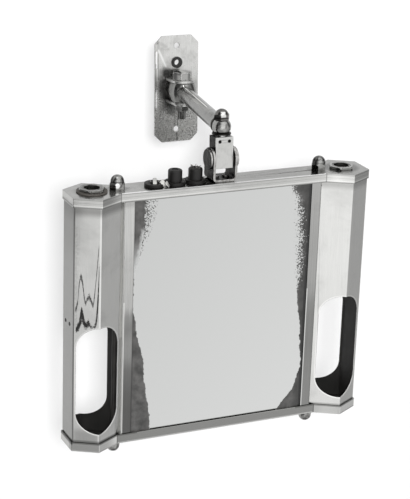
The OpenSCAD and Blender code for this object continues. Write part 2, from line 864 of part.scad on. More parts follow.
// Flange on the tray with a short spigot through it
module bush_foot() {
    translate([0, 0, -tray_t - bush_spigot_h]) cylinder(d = bush_bore + 2 * bush_spigot_wall,
        h = tray_t + bush_spigot_h + bush_flange_t);
    cylinder(d = bush_flange_d, h = bush_flange_t);
}

module cable_bushes() {
    half = bush_d / 2;
    color("black") on_head() for (i = [0, 1]) translate([bushes[i], 0, head_top]) difference() {
        union() {
            bush_foot();
            rotate_extrude() union() {
                square([half, bush_h - bush_round]);
                square([half - bush_round, bush_h]);
                translate([half - bush_round, bush_h - bush_round]) circle(r = bush_round);
            }
        }
        translate([0, 0, -tray_t - bush_spigot_h - cut])
            cylinder(d = bush_bore, h = tray_t + bush_spigot_h + bush_h + 2 * cut);
    }
}

module open_bush() {
    color("black") on_head() translate([bushes[2], 0, head_top]) difference() {
        bush_foot();
        translate([0, 0, -tray_t - bush_spigot_h - cut])
            cylinder(d = ferrule_d + 2 * fit, h = tray_t + bush_spigot_h + bush_flange_t + 2 * cut);
    }
}

module bush_ferrule() {
    color("gold") on_head() translate([bushes[2], 0, head_top - tray_t - bush_spigot_h])
        round_plate(ferrule_d, tray_t + bush_spigot_h + ferrule_h, ferrule_d - 2 * ferrule_wall);
}

module cable_stubs() {
    color("dimgray") on_head() for (i = [0, 1]) translate([bushes[i], 0, head_top - tray_t - stub_down])
        cylinder(d = stub_d, h = stub_down + tray_t + bush_h - stub_below_rim);
}

// Three-way ceramic block on the back panel, below the bushes
module terminal_block() {
    terminal_front = back_front - terminal_size;
    terminal_low = head_top - tray_t - terminal_drop - terminal_size;
    color("ivory") on_head() difference() {
        translate([bushes[1] - terminal_len / 2, terminal_front, terminal_low])
            cube([terminal_len, terminal_size, terminal_size]);
        for (x = bushes) {
            translate([x, terminal_front + terminal_size / 2, terminal_low - cut])
                cylinder(d = terminal_hole_d, h = terminal_size + 2 * cut);
            translate([x, terminal_front + terminal_screw_depth, terminal_low + terminal_size / 2])
                rotate([90, 0, 0]) cylinder(d = terminal_screw_d, h = terminal_screw_depth + cut);
        }
    }
}

wall_plate();
bracket_ear_top();
bracket_ear_bottom();
cable_grommet();
wall_bolt();
wall_bolt_washer();
wall_bolt_nut();
wall_knuckle();
arm_tube();
arm_collar();
arm_ball();
swivel_block();
block_front_plate();
block_screws();
swivel_stud();
swivel_washers();
dome_nut();
tilt_yoke();
tilt_pin();
tilt_pin_nut();
friction_washers();
yoke_screws();
yoke_screw_nuts();
yoke_stiffener();
top_tray();
bottom_tray();
lamp_housing_left();
lamp_housing_right();
side_channel_left();
side_channel_right();
mirror_glass();
backing_board();
glass_battens();
back_panel();
tie_rods();
cap_nuts_top();
cap_nuts_bottom();
lamp_nipples();
nipple_nuts();
fibre_washer();
lamp_holders();
lamp_caps();
lamp_bulbs();
cable_bushes();
open_bush();
bush_ferrule();
cable_stubs();
terminal_block();
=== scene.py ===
import json
import math

import bmesh
import bpy
import numpy as np
from mathutils import Matrix, Vector


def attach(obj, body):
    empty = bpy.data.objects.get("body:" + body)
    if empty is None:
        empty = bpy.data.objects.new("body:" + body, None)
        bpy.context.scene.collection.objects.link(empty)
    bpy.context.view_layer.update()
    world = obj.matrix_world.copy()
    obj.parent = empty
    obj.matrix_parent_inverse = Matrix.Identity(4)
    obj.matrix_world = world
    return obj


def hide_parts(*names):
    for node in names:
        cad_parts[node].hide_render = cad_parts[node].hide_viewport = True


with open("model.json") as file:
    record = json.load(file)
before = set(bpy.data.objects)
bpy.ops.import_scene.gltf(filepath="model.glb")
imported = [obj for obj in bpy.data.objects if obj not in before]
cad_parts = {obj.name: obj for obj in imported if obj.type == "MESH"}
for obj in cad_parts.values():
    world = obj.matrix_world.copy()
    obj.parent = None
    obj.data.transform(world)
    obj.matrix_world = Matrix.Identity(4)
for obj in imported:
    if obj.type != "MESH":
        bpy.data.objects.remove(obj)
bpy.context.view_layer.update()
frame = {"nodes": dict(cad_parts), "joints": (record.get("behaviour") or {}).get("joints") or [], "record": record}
scene = bpy.context.scene
nodes = frame["nodes"]
bodies = frame["record"]["behaviour"]["bodies"]
bodyOf = {node: body for body, names in bodies.items() for node in names}
joints = {joint["name"]: joint for joint in frame["joints"]}
print("frame:", len(nodes), "nodes")

# where the head and the arm lie in the shared frame, in mm and degrees as in the model's source
head = {"tilt": 3.0, "pinAboveMiddle": 163.0, "hexMiddle": 144.0, "hexWidth": 52.0, "hexDepth": 63.0,
        "hexFlat": 32.8, "housingInset": 1.5, "housingSheet": 1.2, "sightHalf": 102.0,
        "rightBush": -29.0, "window": {"middle": 142.3, "height": -60.0, "half": 23.5, "straight": 36.5}}
arm = {"swing": 11.0}
pin = Vector(joints["head_tilt"]["pos_m"])
ball = Vector(joints["head_swivel"]["pos_m"])
headPlace = (Matrix.Translation(pin) @ Matrix.Rotation(math.radians(head["tilt"]), 4, "X")
             @ Matrix.Translation((0, 0, -head["pinAboveMiddle"] / 1000)))
armPlace = Matrix.Translation(ball) @ Matrix.Rotation(math.radians(90 - arm["swing"]), 4, "Z")
places = {"row": Matrix.Identity(4), "head": headPlace, "arm": armPlace}
smooth = {"interpolation_type": "SMOOTHSTEP"}


def linear(hexColour):
    # sRGB hex to linear light: ((c + 0.055) / 1.055) to the power 2.4, and c / 12.92 near black
    c = np.array([int(hexColour[i:i + 2], 16) for i in (1, 3, 5)]) / 255
    c = np.where(c <= 0.04045, c / 12.92, ((c + 0.055) / 1.055) ** 2.4)
    return (*c.tolist(), 1.0)


def feed(tree, node, values):
    # gives a node's inputs, by number or name, their values: a socket is linked, hex text is a colour and None is
    # left as it is
    for key, value in values.items():
        if isinstance(value, bpy.types.NodeSocket):
            tree.links.new(value, node.inputs[key])
        elif value is not None:
            node.inputs[key].default_value = linear(value) if isinstance(value, str) else value


def add(tree, kind, *values, out=0, curve=(), **named):
    # adds a node and gives one of its outputs, or all of them where out is None; an operation may follow the kind,
    # inputs come in the node's own order or by a name with a capital, and small letters name its own settings
    kind, _, operation = kind.partition(" ")
    node = tree.nodes.new("ShaderNode" + kind)
    if operation:
        node.operation = operation
    if curve:
        points = node.mapping.curves[0].points
        while len(points) < len(curve):
            points.new(0.5, 0.5)
        for point, spot in zip(points, curve):
            point.location, point.handle_type = spot, "VECTOR"
        node.mapping.update()
    for key in [key for key in named if key[0].islower()]:
        setattr(node, key, named.pop(key))
    feed(tree, node, {**dict(enumerate(values)), **named})
    return node.outputs if out is None else node.outputs[out]


def newFinish(name):
    material = bpy.data.materials.new(name)
    material.use_nodes = True
    return material, material.node_tree, material.node_tree.nodes["Principled BSDF"]


def millimetres(tree, place):
    # object coordinates in millimetres along the directions of the head, the arm or the shared frame
    back = places[place].inverted()
    return add(tree, "Mapping", add(tree, "TexCoord", out="Object"), [1000 * x for x in back.to_translation()],
               back.to_euler("XYZ"), (1000, 1000, 1000))


def blendColours(tree, share, first, second, way="MIX"):
    # the first colour drawn towards the second by a share; a Mix node's colours are its inputs 6 and 7
    return add(tree, "Mix", share, *[None] * 5, first, second, data_type="RGBA", blend_type=way, out=2)


def timesGrey(tree, colour, level):
    return blendColours(tree, 1.0, colour, add(tree, "CombineColor", level, level, level), "MULTIPLY")


def shadeAlong(tree, value, colour, levels):
    # multiplies the colour by levels given at places in mm along one axis
    low, high = levels[0][0], levels[-1][0]
    share = add(tree, "MapRange", value, low, high)
    curve = [((spot - low) / (high - low), level) for spot, level in levels]
    return timesGrey(tree, colour, add(tree, "FloatCurve", Value=share, curve=curve))


def boxShare(tree, here, box, soft):
    # 1 inside a box in mm, falling to 0 over a soft border; side stands for the distance from the middle upright
    spot = add(tree, "SeparateXYZ", here, out=None)
    share = None
    for axis, (low, high) in box.items():
        value = spot["xyz".index(axis)] if axis != "side" else add(tree, "Math ABSOLUTE", spot[0])
        away = add(tree, "Math SUBTRACT", value, (low + high) / 2)
        away = add(tree, "Math ABSOLUTE", away)
        part = add(tree, "MapRange", away, (high - low) / 2 - soft / 2, (high - low) / 2 + soft / 2, 1, 0, **smooth)
        share = part if share is None else add(tree, "Math MULTIPLY", share, part)
    return share


def roundShare(tree, here, middle, radius, soft):
    # 1 inside a ball round a point in mm, falling to 0 over a soft border
    far = add(tree, "VectorMath DISTANCE", here, middle, out="Value")
    return add(tree, "MapRange", far, radius - soft / 2, radius + soft / 2, 1, 0, **smooth)


def lineShare(tree, here, start, end, half, soft):
    # 1 near the straight line between two points in mm, falling to 0 over a soft border
    way = np.subtract(end, start)
    off = add(tree, "VectorMath SUBTRACT", here, start)
    along = add(tree, "VectorMath DOT_PRODUCT", off, (way / way.dot(way)).tolist(), out="Value")
    along = add(tree, "Clamp", along)
    foot = add(tree, "VectorMath SCALE", way.tolist(), Scale=along)
    far = add(tree, "VectorMath DISTANCE", off, foot, out="Value")
    return add(tree, "MapRange", far, half - soft / 2, half + soft / 2, 1, 0, **smooth)


def mark(tone, strength, soft, torn=False, **where):
    # a mark that draws the colour to its tone by its strength: where is a box by its sides, a ball or a line, all in
    # mm with a soft border, and a torn one is broken up by a noise
    return {"tone": tone, "strength": strength, "soft": soft, "torn": torn, "where": where}


def paintMarks(tree, here, colour, marks):
    # stains, seams, rubbed edges, and painted shade, painted highlights and painted reflections
    torn = add(tree, "TexNoise", here, Scale=0.35, Detail=4, Roughness=0.65)
    torn = add(tree, "MapRange", torn, 0.35, 0.6)
    for look in marks:
        where = look["where"]
        if "radius" in where:
            share = roundShare(tree, here, where["at"], where["radius"], look["soft"])
        elif "half" in where:
            share = lineShare(tree, here, *where["line"], where["half"], look["soft"])
        else:
            share = boxShare(tree, here, where, look["soft"])
        if look["torn"]:
            share = add(tree, "Math MULTIPLY", share, torn)
        share = add(tree, "Math MULTIPLY", share, look["strength"])
        colour = blendColours(tree, share, colour, look["tone"])
    return colour


def platedSurface(name, look):
    # nickel plate over brass, polished on a mop and then handled for decades: grey, cloudy where it is tarnished,
    # with fine rub lines along the work and dark pin holes where the plate has failed
    material, tree, shader = newFinish(name)
    here = millimetres(tree, look["place"])
    cloud = add(tree, "TexNoise", here, Scale=1 / look["cloudMm"], Detail=5, Roughness=0.62, Distortion=0.4)
    tarnish = add(tree, "MapRange", cloud, *look["tarnish"], **smooth)
    rubbed = add(tree, "Mapping", here, Scale=[1 / s for s in look["rubMm"]])
    rubs = add(tree, "TexNoise", rubbed, Scale=1, Detail=3, Roughness=0.55)
    rubTone = add(tree, "MapRange", rubs, 0.3, 0.7, 1 - look["rubTone"], 1 + look["rubTone"])
    colour = timesGrey(tree, blendColours(tree, tarnish, look["clean"], look["dull"]), rubTone)
    # pin holes: a cell's middle is dark only where a slower noise lets it through
    cells = add(tree, "TexVoronoi", here, Scale=1 / look["pitMm"])
    pits = add(tree, "MapRange", cells, 0.06, 0.2, 1, 0, **smooth)
    where = add(tree, "TexNoise", here, Scale=0.6 / look["pitMm"], Detail=2)
    where = add(tree, "MapRange", where, look["pitFrom"], look["pitFrom"] + 0.08)
    pits = add(tree, "Math MULTIPLY", pits, where)
    colour = blendColours(tree, pits, colour, look["pit"])
    rough = add(tree, "MapRange", cloud, 0.25, 0.75, *look["rough"])
    rough = add(tree, "Math MULTIPLY_ADD", pits, 0.25, rough)
    # slow hollows left by the mop bend the reflections, and the rub lines break them up
    hollow = add(tree, "TexNoise", here, Scale=1 / look["hollowMm"], Detail=1)
    bend = add(tree, "Bump", Strength=1, Distance=look["hollowDeep"] / 1000, Height=hollow)
    bend = add(tree, "Bump", Strength=1, Distance=look["rubDeep"] / 1000, Height=rubs, Normal=bend)
    colour = paintMarks(tree, here, colour, look.get("marks", []))
    feed(tree, shader, {"Metallic": 1, "Base Color": colour, "Roughness": rough, "Normal": bend})
    return material, tree, shader, here, colour, rough


def mattFinish(name, **look):
    # moulded, turned or sawn stuff without plate: one tone with a finer grain and a slow change over it
    material, tree, shader = newFinish(name)
    here = millimetres(tree, look["place"])
    grain = add(tree, "Mapping", here, Scale=[1 / s for s in look["grainMm"]])
    grain = add(tree, "TexNoise", grain, Scale=1, Detail=4, Roughness=0.6)
    slow = add(tree, "TexNoise", here, Scale=1 / look["cloudMm"], Detail=3)
    share = add(tree, "MapRange", add(tree, "Mix", 0.5, None, grain, slow), 0.35, 0.65)
    bend = add(tree, "Bump", Strength=1, Distance=look["deep"] / 1000, Height=grain)
    feed(tree, shader, {"Base Color": blendColours(tree, share, look["dark"], look["light"]), "Normal": bend,
                        "Roughness": add(tree, "MapRange", share, 0, 1, *look["rough"]), "IOR": look["ior"]})
    return material


# bright mopped plate on the trays' thin sheet; the housings and channels start from it too
nickelSheet = {"place": "head", "clean": "#CFCFCD", "dull": "#BDBDBB", "pit": "#3A3936", "tarnish": (0.5, 0.8),
               "cloudMm": 26, "rubMm": (9, 9, 0.9), "rubTone": 0.05, "rubDeep": 0.006, "pitMm": 2.4, "pitFrom": 0.7,
               "rough": (0.13, 0.24), "hollowMm": 45, "hollowDeep": 0.06}
front = (-40, -10)
# painted light and shade on the upper tray: each face of the rim painted in its own tone for the light it catches,
# painted highlights on the fold and the free edge, dark hairlines and painted shade along and under the rim and on
# its left end, painted reflections and shadows of the nuts, nipples and fittings on the top, which is painted darker
# towards the right, and the lap seams and a small hole
topTrayMarksAndPaintedLight = [
    mark("#B0B0AE", 1, 0.8, x=(-144, -117.6), z=(129, 139.5), y=front),
    mark("#DEDEDC", 0.8, 0.8, x=(118.4, 144), z=(129, 139.5), y=front),
    mark("#C0C0BE", 1, 0.8, x=(144, 172), z=(129, 139.5), y=front),
    mark("#8E8E8C", 0.5, 0.4, z=(139.6, 141)),
    mark("#FFFFFF", 0.9, 0.5, z=(139.3, 141), y=(-16.6, -14.8), side=(-1, 117)),
    mark("#6A6A68", 0.5, 5, z=(127, 134), x=(-173, -169.2)),
    mark("#2E2E2D", 0.7, 0.5, z=(131.5, 132.5), x=(-173, -169.2)),
    mark("#7A7A78", 0.5, 0.5, z=(138.4, 139.3), y=(-40, -15)),
    mark("#7A7A78", 0.25, 0.4, z=(135.1, 135.8), y=(-40, -15)),
    mark("#F2F2F0", 0.6, 0.6, z=(131.7, 133.0), y=(-40, -15)),
    mark("#6E6E6C", 0.65, 0.5, z=(129, 131.2), y=(-40, -15)),
    mark("#5A5A58", 0.6, 0.4, side=(117.5, 118.4), y=(-20, -15), z=(130, 141)),
    mark("#3A3A38", 0.8, 0.6, at=(-157.9, -22, 134.7), radius=0.9),
    mark("#5E5E5C", 0.75, 5, x=(-90, 10), y=(-17, -3), z=(139.2, 141)),
    mark("#4A4A48", 0.4, 6, x=(-90, 10), y=(-4, 17), z=(139.2, 141), torn=True),
    mark("#8E8E8C", 0.35, 60, x=(0, 250), y=(-40, 40), z=(139.2, 141)),
    mark("#8E8E8C", 0.45, 40, x=(0, 112), y=(-40, 40), z=(139.2, 141)),
    mark("#4E4E4C", 0.75, 6, at=(-116.3, 0, 140), radius=12, torn=True),
    mark("#4E4E4C", 0.7, 6, at=(116.3, 0, 140), radius=12, torn=True),
    mark("#565654", 0.5, 6, at=(-144, 0, 140), radius=19, torn=True),
    mark("#6A6A68", 0.8, 6, at=(144, 0, 140), radius=19)]
# painted light and shade on the lower tray, which lies away from the light: each face of the rim painted in its own
# tone, the middle bar grey and the right corner bright, painted dark lines at the rim's top and its left end, a
# lighter painted strip at the top of the bar, a painted highlight along its foot, and the lap seams
bottomTrayMarksAndPaintedLight = [
    mark("#8A8A88", 0.95, 1.0, side=(-1, 117.6), z=(-141, -129), y=front),
    mark("#A6A6A4", 0.9, 0.8, x=(-172, -144), z=(-141, -129), y=front),
    mark("#D8D8D6", 1, 0.8, x=(-144, -118), z=(-141, -129), y=front),
    mark("#BBBBB9", 0.9, 0.8, x=(118, 144), z=(-141, -129), y=front),
    mark("#F4F4F2", 1, 0.8, x=(144, 172), z=(-141, -129), y=front),
    mark("#5A5A58", 0.6, 0.5, z=(-131.3, -129), side=(95, 175), y=front),
    mark("#A4A4A2", 0.5, 0.5, z=(-130.4, -129), x=(-95, 95), y=front),
    mark("#2A2A29", 0.85, 0.8, z=(-132.6, -129), x=(-175, -169)),
    mark("#C2C2C0", 0.8, 0.8, z=(-141, -138.4), y=front),
    mark("#4A4A48", 0.75, 0.4, side=(117.4, 118.6), y=(-20, -15), z=(-141, -129))]
topTrayNickel = platedSurface("nickelPlatedTopTray", {**nickelSheet, "marks": topTrayMarksAndPaintedLight})[0]
bottomTrayNickel = platedSurface("nickelPlatedBottomTray", {**nickelSheet, "marks": bottomTrayMarksAndPaintedLight})[0]


def windowEdge(tree, here, reach):
    # distance outside the long round-ended window, measured square to its edge: 1 at the edge, 0 at the reach in mm
    window = head["window"]
    spot = add(tree, "SeparateXYZ", here, out=None)
    across = add(tree, "Math ABSOLUTE", spot[0])
    across = add(tree, "Math SUBTRACT", across, window["middle"])
    along = add(tree, "Math SUBTRACT", spot[2], window["height"])
    along = add(tree, "Math ABSOLUTE", along)
    along = add(tree, "Math SUBTRACT", along, window["straight"])
    along = add(tree, "Math MAXIMUM", along, 0)
    both = add(tree, "CombineXYZ", across, along)
    far = add(tree, "VectorMath LENGTH", both, out="Value")
    return add(tree, "MapRange", far, window["half"] + reach / 2, window["half"] + reach, 1, 0, **smooth)


# painted reflections: the two bent dark reflections that a dent throws on the left tube's front face, painted into its
# colour: share of the way from the left bend to the middle edge, then height in mm of the mark's upper and lower
# border
paintedReflections = [
    {"tone": "#5C5C5B", "mark": [
        (0.06, 20.7, 17.0), (0.12, 27.0, 18.4), (0.159, 33.1, 24.6), (0.188, 47.8, 38.1), (0.233, 57.5, 50.3),
        (0.272, 61.2, 53.0), (0.315, 55.3, 47.0), (0.349, 49.3, 40.0), (0.38, 42.1, 33.0), (0.425, 31.7, 24.6),
        (0.453, 31.0, 25.4), (0.493, 34.3, 28.3), (0.533, 36.7, 30.0), (0.573, 38.4, 31.2), (0.614, 35.6, 29.4),
        (0.669, 32.0, 25.8), (0.723, 28.8, 21.6), (0.753, 36.8, 27.1), (0.782, 45.4, 34.4), (0.81, 55.1, 45.4),
        (0.838, 66.0, 55.2), (0.866, 76.8, 64.9), (0.893, 87.7, 76.9), (0.914, 92.5, 85.3)]},
    {"tone": "#3A3A39", "mark": [
        (0.087, 0.4, -5.7), (0.148, 4.2, -4.9), (0.209, 7.4, -3.6), (0.248, 16.7, 0.2), (0.287, 24.4, 4.0),
        (0.327, 22.5, 5.9), (0.37, 17.7, 3.0), (0.413, 9.8, 0.0), (0.475, 6.4, -1.1), (0.535, 10.6, 0.8),
        (0.584, 8.6, 1.6), (0.639, 4.0, -0.2), (0.701, 2.4, -0.2), (0.762, 3.2, 0.1), (0.814, 7.4, 0.8),
        (0.852, 20.5, 2.8), (0.886, 40.0, 10.2), (0.909, 55.3, 20.1), (0.924, 67.4, 29.9), (0.939, 73.4, 49.3)]},
]
paintedReflectionRange = {"low": -20, "height": 140, "left": -168.5, "right": -144, "wander": 13, "end": 0.01}
# painted light and shade on the left housing: a painted highlight along the middle edge, painted dark lines at the
# bends and corners, the outer side painted darker and darker still at its top and under the rim, a torn darker streak
# by the left bend, the front painted darker low down and beside the channel, and painted shadow under the upper tray's
# rim and above the lower one
leftHousingPaintedLight = [
    mark("#6A6A68", 0.6, 0.5, x=(-168.7, -167.5), y=(-40, -15.3)),
    mark("#F4F4F2", 0.75, 0.5, x=(-145.6, -143.9), y=(-40, -27)),
    mark("#8A8A88", 0.25, 3, x=(-121, -110), y=(-40, -10), z=(-140, -20)),
    mark("#8C8C8A", 0.78, 0.6, x=(-170, -168)),
    mark("#4A4A49", 0.45, 40, x=(-170, -168), z=(80, 130)),
    mark("#7A7A78", 0.3, 5, x=(-168.4, -164), y=(-40, -15), z=(-5, 110), torn=True),
    mark("#3A3A39", 0.85, 24, x=(-170, -167.5), z=(119, 146)),
    mark("#2A2A29", 0.7, 0.7, x=(-170, -168.2), y=(-15.8, -13.6)),
    mark("#8A8A88", 0.5, 10, x=(-168.4, -144), z=(-145, -115)),
    mark("#6E6E6C", 0.6, 9, z=(122, 132), y=(-40, -10)),
    mark("#5A5A58", 0.6, 2, z=(-132, -127.5), y=(-40, -10))]
# painted light and shade on the right housing: painted highlights along the outer bend and the middle edge, the outer
# front face painted lighter towards the top, a painted dark line and a dark spot at the inner edge, and painted shadow
# under the upper tray's rim and above the lower one
rightHousingPaintedLight = [
    mark("#F0F0EE", 0.6, 0.7, x=(166.9, 168.7), y=(-40, -14)),
    mark("#E6E6E4", 0.12, 20, x=(144.2, 169), y=(-40, -14), z=(40, 130)),
    mark("#E6E6E4", 0.3, 3, x=(144, 147.5), y=(-40, -27)),
    mark("#7E7E7C", 0.4, 0.6, x=(112, 114.4), y=(-40, -10)),
    mark("#3A3A38", 0.8, 0.6, x=(113.5, 114.9), y=(-40, 0), z=(125.3, 126.7)),
    mark("#7A7A78", 0.45, 8, z=(124, 132), y=(-40, -10)),
    mark("#6A6A68", 0.5, 2, z=(-132, -128), y=(-40, -10))]


def paintedBentReflections(tree, here, colour):
    # each painted reflection fills the space between its two borders, whose heights wander with a noise; beyond its
    # ends the borders cross, which shuts it
    low, tall, end = paintedReflectionRange["low"], paintedReflectionRange["height"], paintedReflectionRange["end"]
    spot = add(tree, "SeparateXYZ", here, out=None)
    wobble = add(tree, "TexNoise", here, Scale=0.8, Detail=4, Roughness=0.75)
    across = add(tree, "MapRange", spot[0], paintedReflectionRange["left"], paintedReflectionRange["right"])
    height = add(tree, "Math MULTIPLY_ADD", wobble, paintedReflectionRange["wander"], -paintedReflectionRange["wander"] / 2)
    height = add(tree, "Math ADD", spot[2], height)
    onFace = boxShare(tree, here, {"x": (-168.2, -145.2), "y": (-40, -15.4)}, 0.4)
    faint = add(tree, "TexNoise", here, Scale=0.3, Detail=3)
    faint = add(tree, "MapRange", faint, 0.36, 0.48, 0.75)
    onFace = add(tree, "Math MULTIPLY", onFace, faint)
    for paintedReflection in paintedReflections:
        share = onFace
        for border, sign, shut in ((1, 1, 0.1), (2, -1, 0.9)):
            line = [(point[0], (point[border] - low) / tall) for point in paintedReflection["mark"]]
            line = [(0, shut), (line[0][0] - end, shut)] + line + [(line[-1][0] + end, shut), (1, shut)]
            line = add(tree, "FloatCurve", Value=across, curve=line)
            line = add(tree, "Math MULTIPLY_ADD", line, tall, low)
            below = add(tree, "Math MULTIPLY", add(tree, "Math SUBTRACT", line, height), sign)
            share = add(tree, "Math MULTIPLY", share, add(tree, "MapRange", below, -0.5, 1.6, **smooth))
        colour = blendColours(tree, share, colour, paintedReflection["tone"])
    return colour


def housingFinish(name, marks, clean, dented=False):
    # the same plate on the folded hexagons, with painted light and shade from its marks: drawn lines run upright, the
    # lips of the window are rubbed bright, and the left one carries painted bent reflections of a dent
    look = dict(nickelSheet, rubMm=(0.8, 0.8, 40), rubTone=0.03, rough=(0.1, 0.18), hollowDeep=0.05, cloudMm=34,
                tarnish=(0.45, 0.8), clean=clean, dull="#CCCCCA", marks=marks)
    material, tree, shader, here, colour, _ = platedSurface(name, look)
    if dented:
        colour = paintedBentReflections(tree, here, colour)
    lip = add(tree, "Math MULTIPLY", windowEdge(tree, here, 1.9), 0.75)
    feed(tree, shader, {"Base Color": blendColours(tree, lip, colour, "#F4F4F2")})
    return material


leftHousingNickel = housingFinish("nickelPlatedHousingLeft", leftHousingPaintedLight, "#D9D9D7", dented=True)
rightHousingNickel = housingFinish("nickelPlatedHousingRight", rightHousingPaintedLight, "#D8D8D6")


def channelFinish(name, edge, flank, fall, **changes):
    # drawn channel: upright rub lines, and below the middle the plate is painted darker towards the bottom, a painted
    # shade with a ragged border; fall is the share of its colour that the plate keeps at heights in mm
    look = dict(nickelSheet, rubMm=(0.7, 0.7, 60), rubTone=0.07, rough=(0.12, 0.2), cloudMm=30, hollowDeep=0.03,
                **changes)
    material, tree, shader, here, colour, rough = platedSurface(name, look)
    spot = add(tree, "SeparateXYZ", here, out=None)
    ragged = add(tree, "TexNoise", add(tree, "Mapping", here, Scale=(0.5, 0.5, 0.02)), Scale=1, Detail=2)
    height = add(tree, "Math ADD", add(tree, "Math MULTIPLY_ADD", ragged, 14, -7), spot[2])
    colour = shadeAlong(tree, height, colour, fall)
    # painted shade: the web and the outer flank are painted black inside the housing, apart from their first
    # millimetres
    inner = boxShare(tree, here, {"side": (112.4, 114), "y": (-11.4, 11.4)}, 0.5)
    colour = blendColours(tree, inner, colour, "#121211")
    rubbed = add(tree, "Math MULTIPLY", boxShare(tree, here, edge, 0.5), 0.7)
    colour = blendColours(tree, rubbed, colour, "#EFEFED")
    # the flank in front of the housing has lost its polish and shows a dull white metal
    outer = boxShare(tree, here, {"side": (112.7, 114), "y": (-14.6, -11)}, 0.4)
    metal = add(tree, "Math SUBTRACT", 1, add(tree, "Math MAXIMUM", outer, inner))
    feed(tree, shader, {"Base Color": blendColours(tree, outer, colour, flank), "Metallic": metal,
                        "Roughness": add(tree, "Mix", inner, None, rough, 0.7)})
    return material


# the right channel is darker than the left in its plate and flank; the marks are painted dark lines along an edge, and
# on the left channel painted shadow under the upper tray's rim
leftChannelNickel = channelFinish(
    "nickelPlatedChannelLeft", clean="#CDCDCB", dull="#C2C2C0", flank="#C6C6C4",
    edge={"x": (-114, -111.8), "y": (-20, -14), "z": (-140, 20)},
    fall=[(-135, 0.2), (-115, 0.2), (-85, 0.22), (-55, 0.3), (-40, 0.46), (-25, 0.5), (-10, 0.4), (5, 0.5), (15, 0.8),
          (60, 0.86), (90, 0.98), (130, 1)],
    marks=[mark("#7A7A78", 0.4, 0.5, x=(-103, -101.5), y=(-20, -14)), mark("#6A6A68", 0.3, 6, z=(124, 132))])
rightChannelNickel = channelFinish(
    "nickelPlatedChannelRight", clean="#B2B2B0", dull="#AAAAA8", flank="#8A8A88",
    edge={"x": (101.8, 103.2), "y": (-20, -14), "z": (-140, 10)},
    fall=[(-135, 0.6), (-85, 0.6), (-55, 0.54), (-20, 0.56), (-5, 0.64), (8, 0.82), (20, 0.87), (60, 0.88), (130, 1)],
    marks=[mark("#7A7A78", 0.5, 0.5, x=(112.2, 114), y=(-20, -14))])

# small plated fittings in the state each one is in
fittingLook = {"place": "row", "pit": "#2E2D2B", "tarnish": (0.48, 0.72), "cloudMm": 7, "rubMm": (4, 4, 0.5),
               "rubTone": 0.05, "rubDeep": 0.003, "pitMm": 1.3, "pitFrom": 0.64, "rough": (0.07, 0.16), "hollowMm": 8,
               "hollowDeep": 0.02}


def fittingFinish(name, **changes):
    return platedSurface(name, {**fittingLook, **changes})[0]


# domed nut: tarnished nearly black, with a painted highlight on one facet and painted shade in a dark line under the
# dome
tarnishedNickel = fittingFinish("tarnishedNickel", clean="#787775", dull="#4A4948", marks=[
    mark("#F0F0EE", 0.85, 0.8, x=(-40.6, -35.2), y=(-220, -209), z=(11.2, 16.6)),
    mark("#2A2928", 0.8, 0.8, y=(-230, -190), z=(9.2, 10.8))])
# plate that hands have kept grey
handledNickel = fittingFinish("handledNickel", clean="#A4A4A2", dull="#62615F")
# the nipples' nuts: grey flats with corners rubbed dull, the right one painted lighter as painted light
nutNickel = fittingFinish("nickelPlatedNut", clean="#868684", dull="#5E5D5C",
                          marks=[mark("#BEBEBC", 0.8, 1, x=(80, 140))])
nutEdge = fittingFinish("rubbedNutEdge", clean="#A6A6A4", dull="#7C7B7A", rough=(0.2, 0.34))
# the cap nuts: painted shade, nearly black, on their left and painted highlights towards the light, with dark patches
# on the right one
capNickel = fittingFinish("nickelPlatedCapNut", place="head", clean="#9A9A98", dull="#5E5D5C", marks=[
    mark("#1E1E1D", 0.9, 3, at=(-122.6, 2, 150), radius=5.2),
    mark("#2A2A29", 0.85, 2.6, at=(-110.4, -3, 151), radius=3.4),
    mark("#343433", 0.7, 0.9, x=(-125, -108), z=(148.2, 149.6)),
    mark("#FFFFFF", 0.95, 1.4, at=(-118.8, -7.5, 145.5), radius=2.6),
    mark("#FFFFFF", 0.8, 1.6, at=(-118.6, -5.5, 155), radius=1.8),
    mark("#1E1E1D", 0.9, 3, at=(110.0, 2, 150), radius=5.2),
    mark("#4A4A49", 0.6, 2.6, at=(122.2, -3, 151), radius=3.4),
    mark("#4A4A49", 0.5, 0.9, x=(108, 125), z=(148.2, 149.6)),
    mark("#FFFFFF", 0.3, 2, at=(115.0, -5.5, 153), radius=1.8),
    mark("#2E2E2D", 0.75, 2, x=(110, 124), z=(151, 160), torn=True)])
# the wall bolt and its nut: bright flats, with painted shade on the nut, the bolt's end and the flats on both sides
boltNickel = fittingFinish("nickelPlatedBolt", clean="#A8A8A6", dull="#5C5B5A", marks=[
    mark("#3E3D3C", 0.65, 3, z=(-40, -14)),
    mark("#3E3E3D", 0.6, 2, x=(2.5, 16), z=(6, 30)),
    mark("#2E2E2D", 0.7, 2, x=(-16, -8.5), z=(6, 30))])
# freshly rubbed plate, and edges rubbed through to duller white metal
paleNickel = fittingFinish("paleNickel", clean="#D2D2D0", dull="#B0B0AE")
rubbedEdge = fittingFinish("rubbedNickelEdge", clean="#D8D8D6", dull="#B4B4B2", rough=(0.2, 0.34))
# brushed front plate with a dark ring round each screw
frontPlateNickel = fittingFinish(
    "nickelPlatedFrontPlate", clean="#C9C9C7", dull="#BEBEBC", cloudMm=9, rubMm=(0.7, 0.7, 7),
    rough=(0.26, 0.34), marks=[mark("#1E1E1D", 0.9, 0.6, at=(-42.04, -216.4, -14.2), radius=1.9),
                               mark("#1E1E1D", 0.9, 0.6, at=(-31.24, -216.4, -14.2), radius=1.9)])
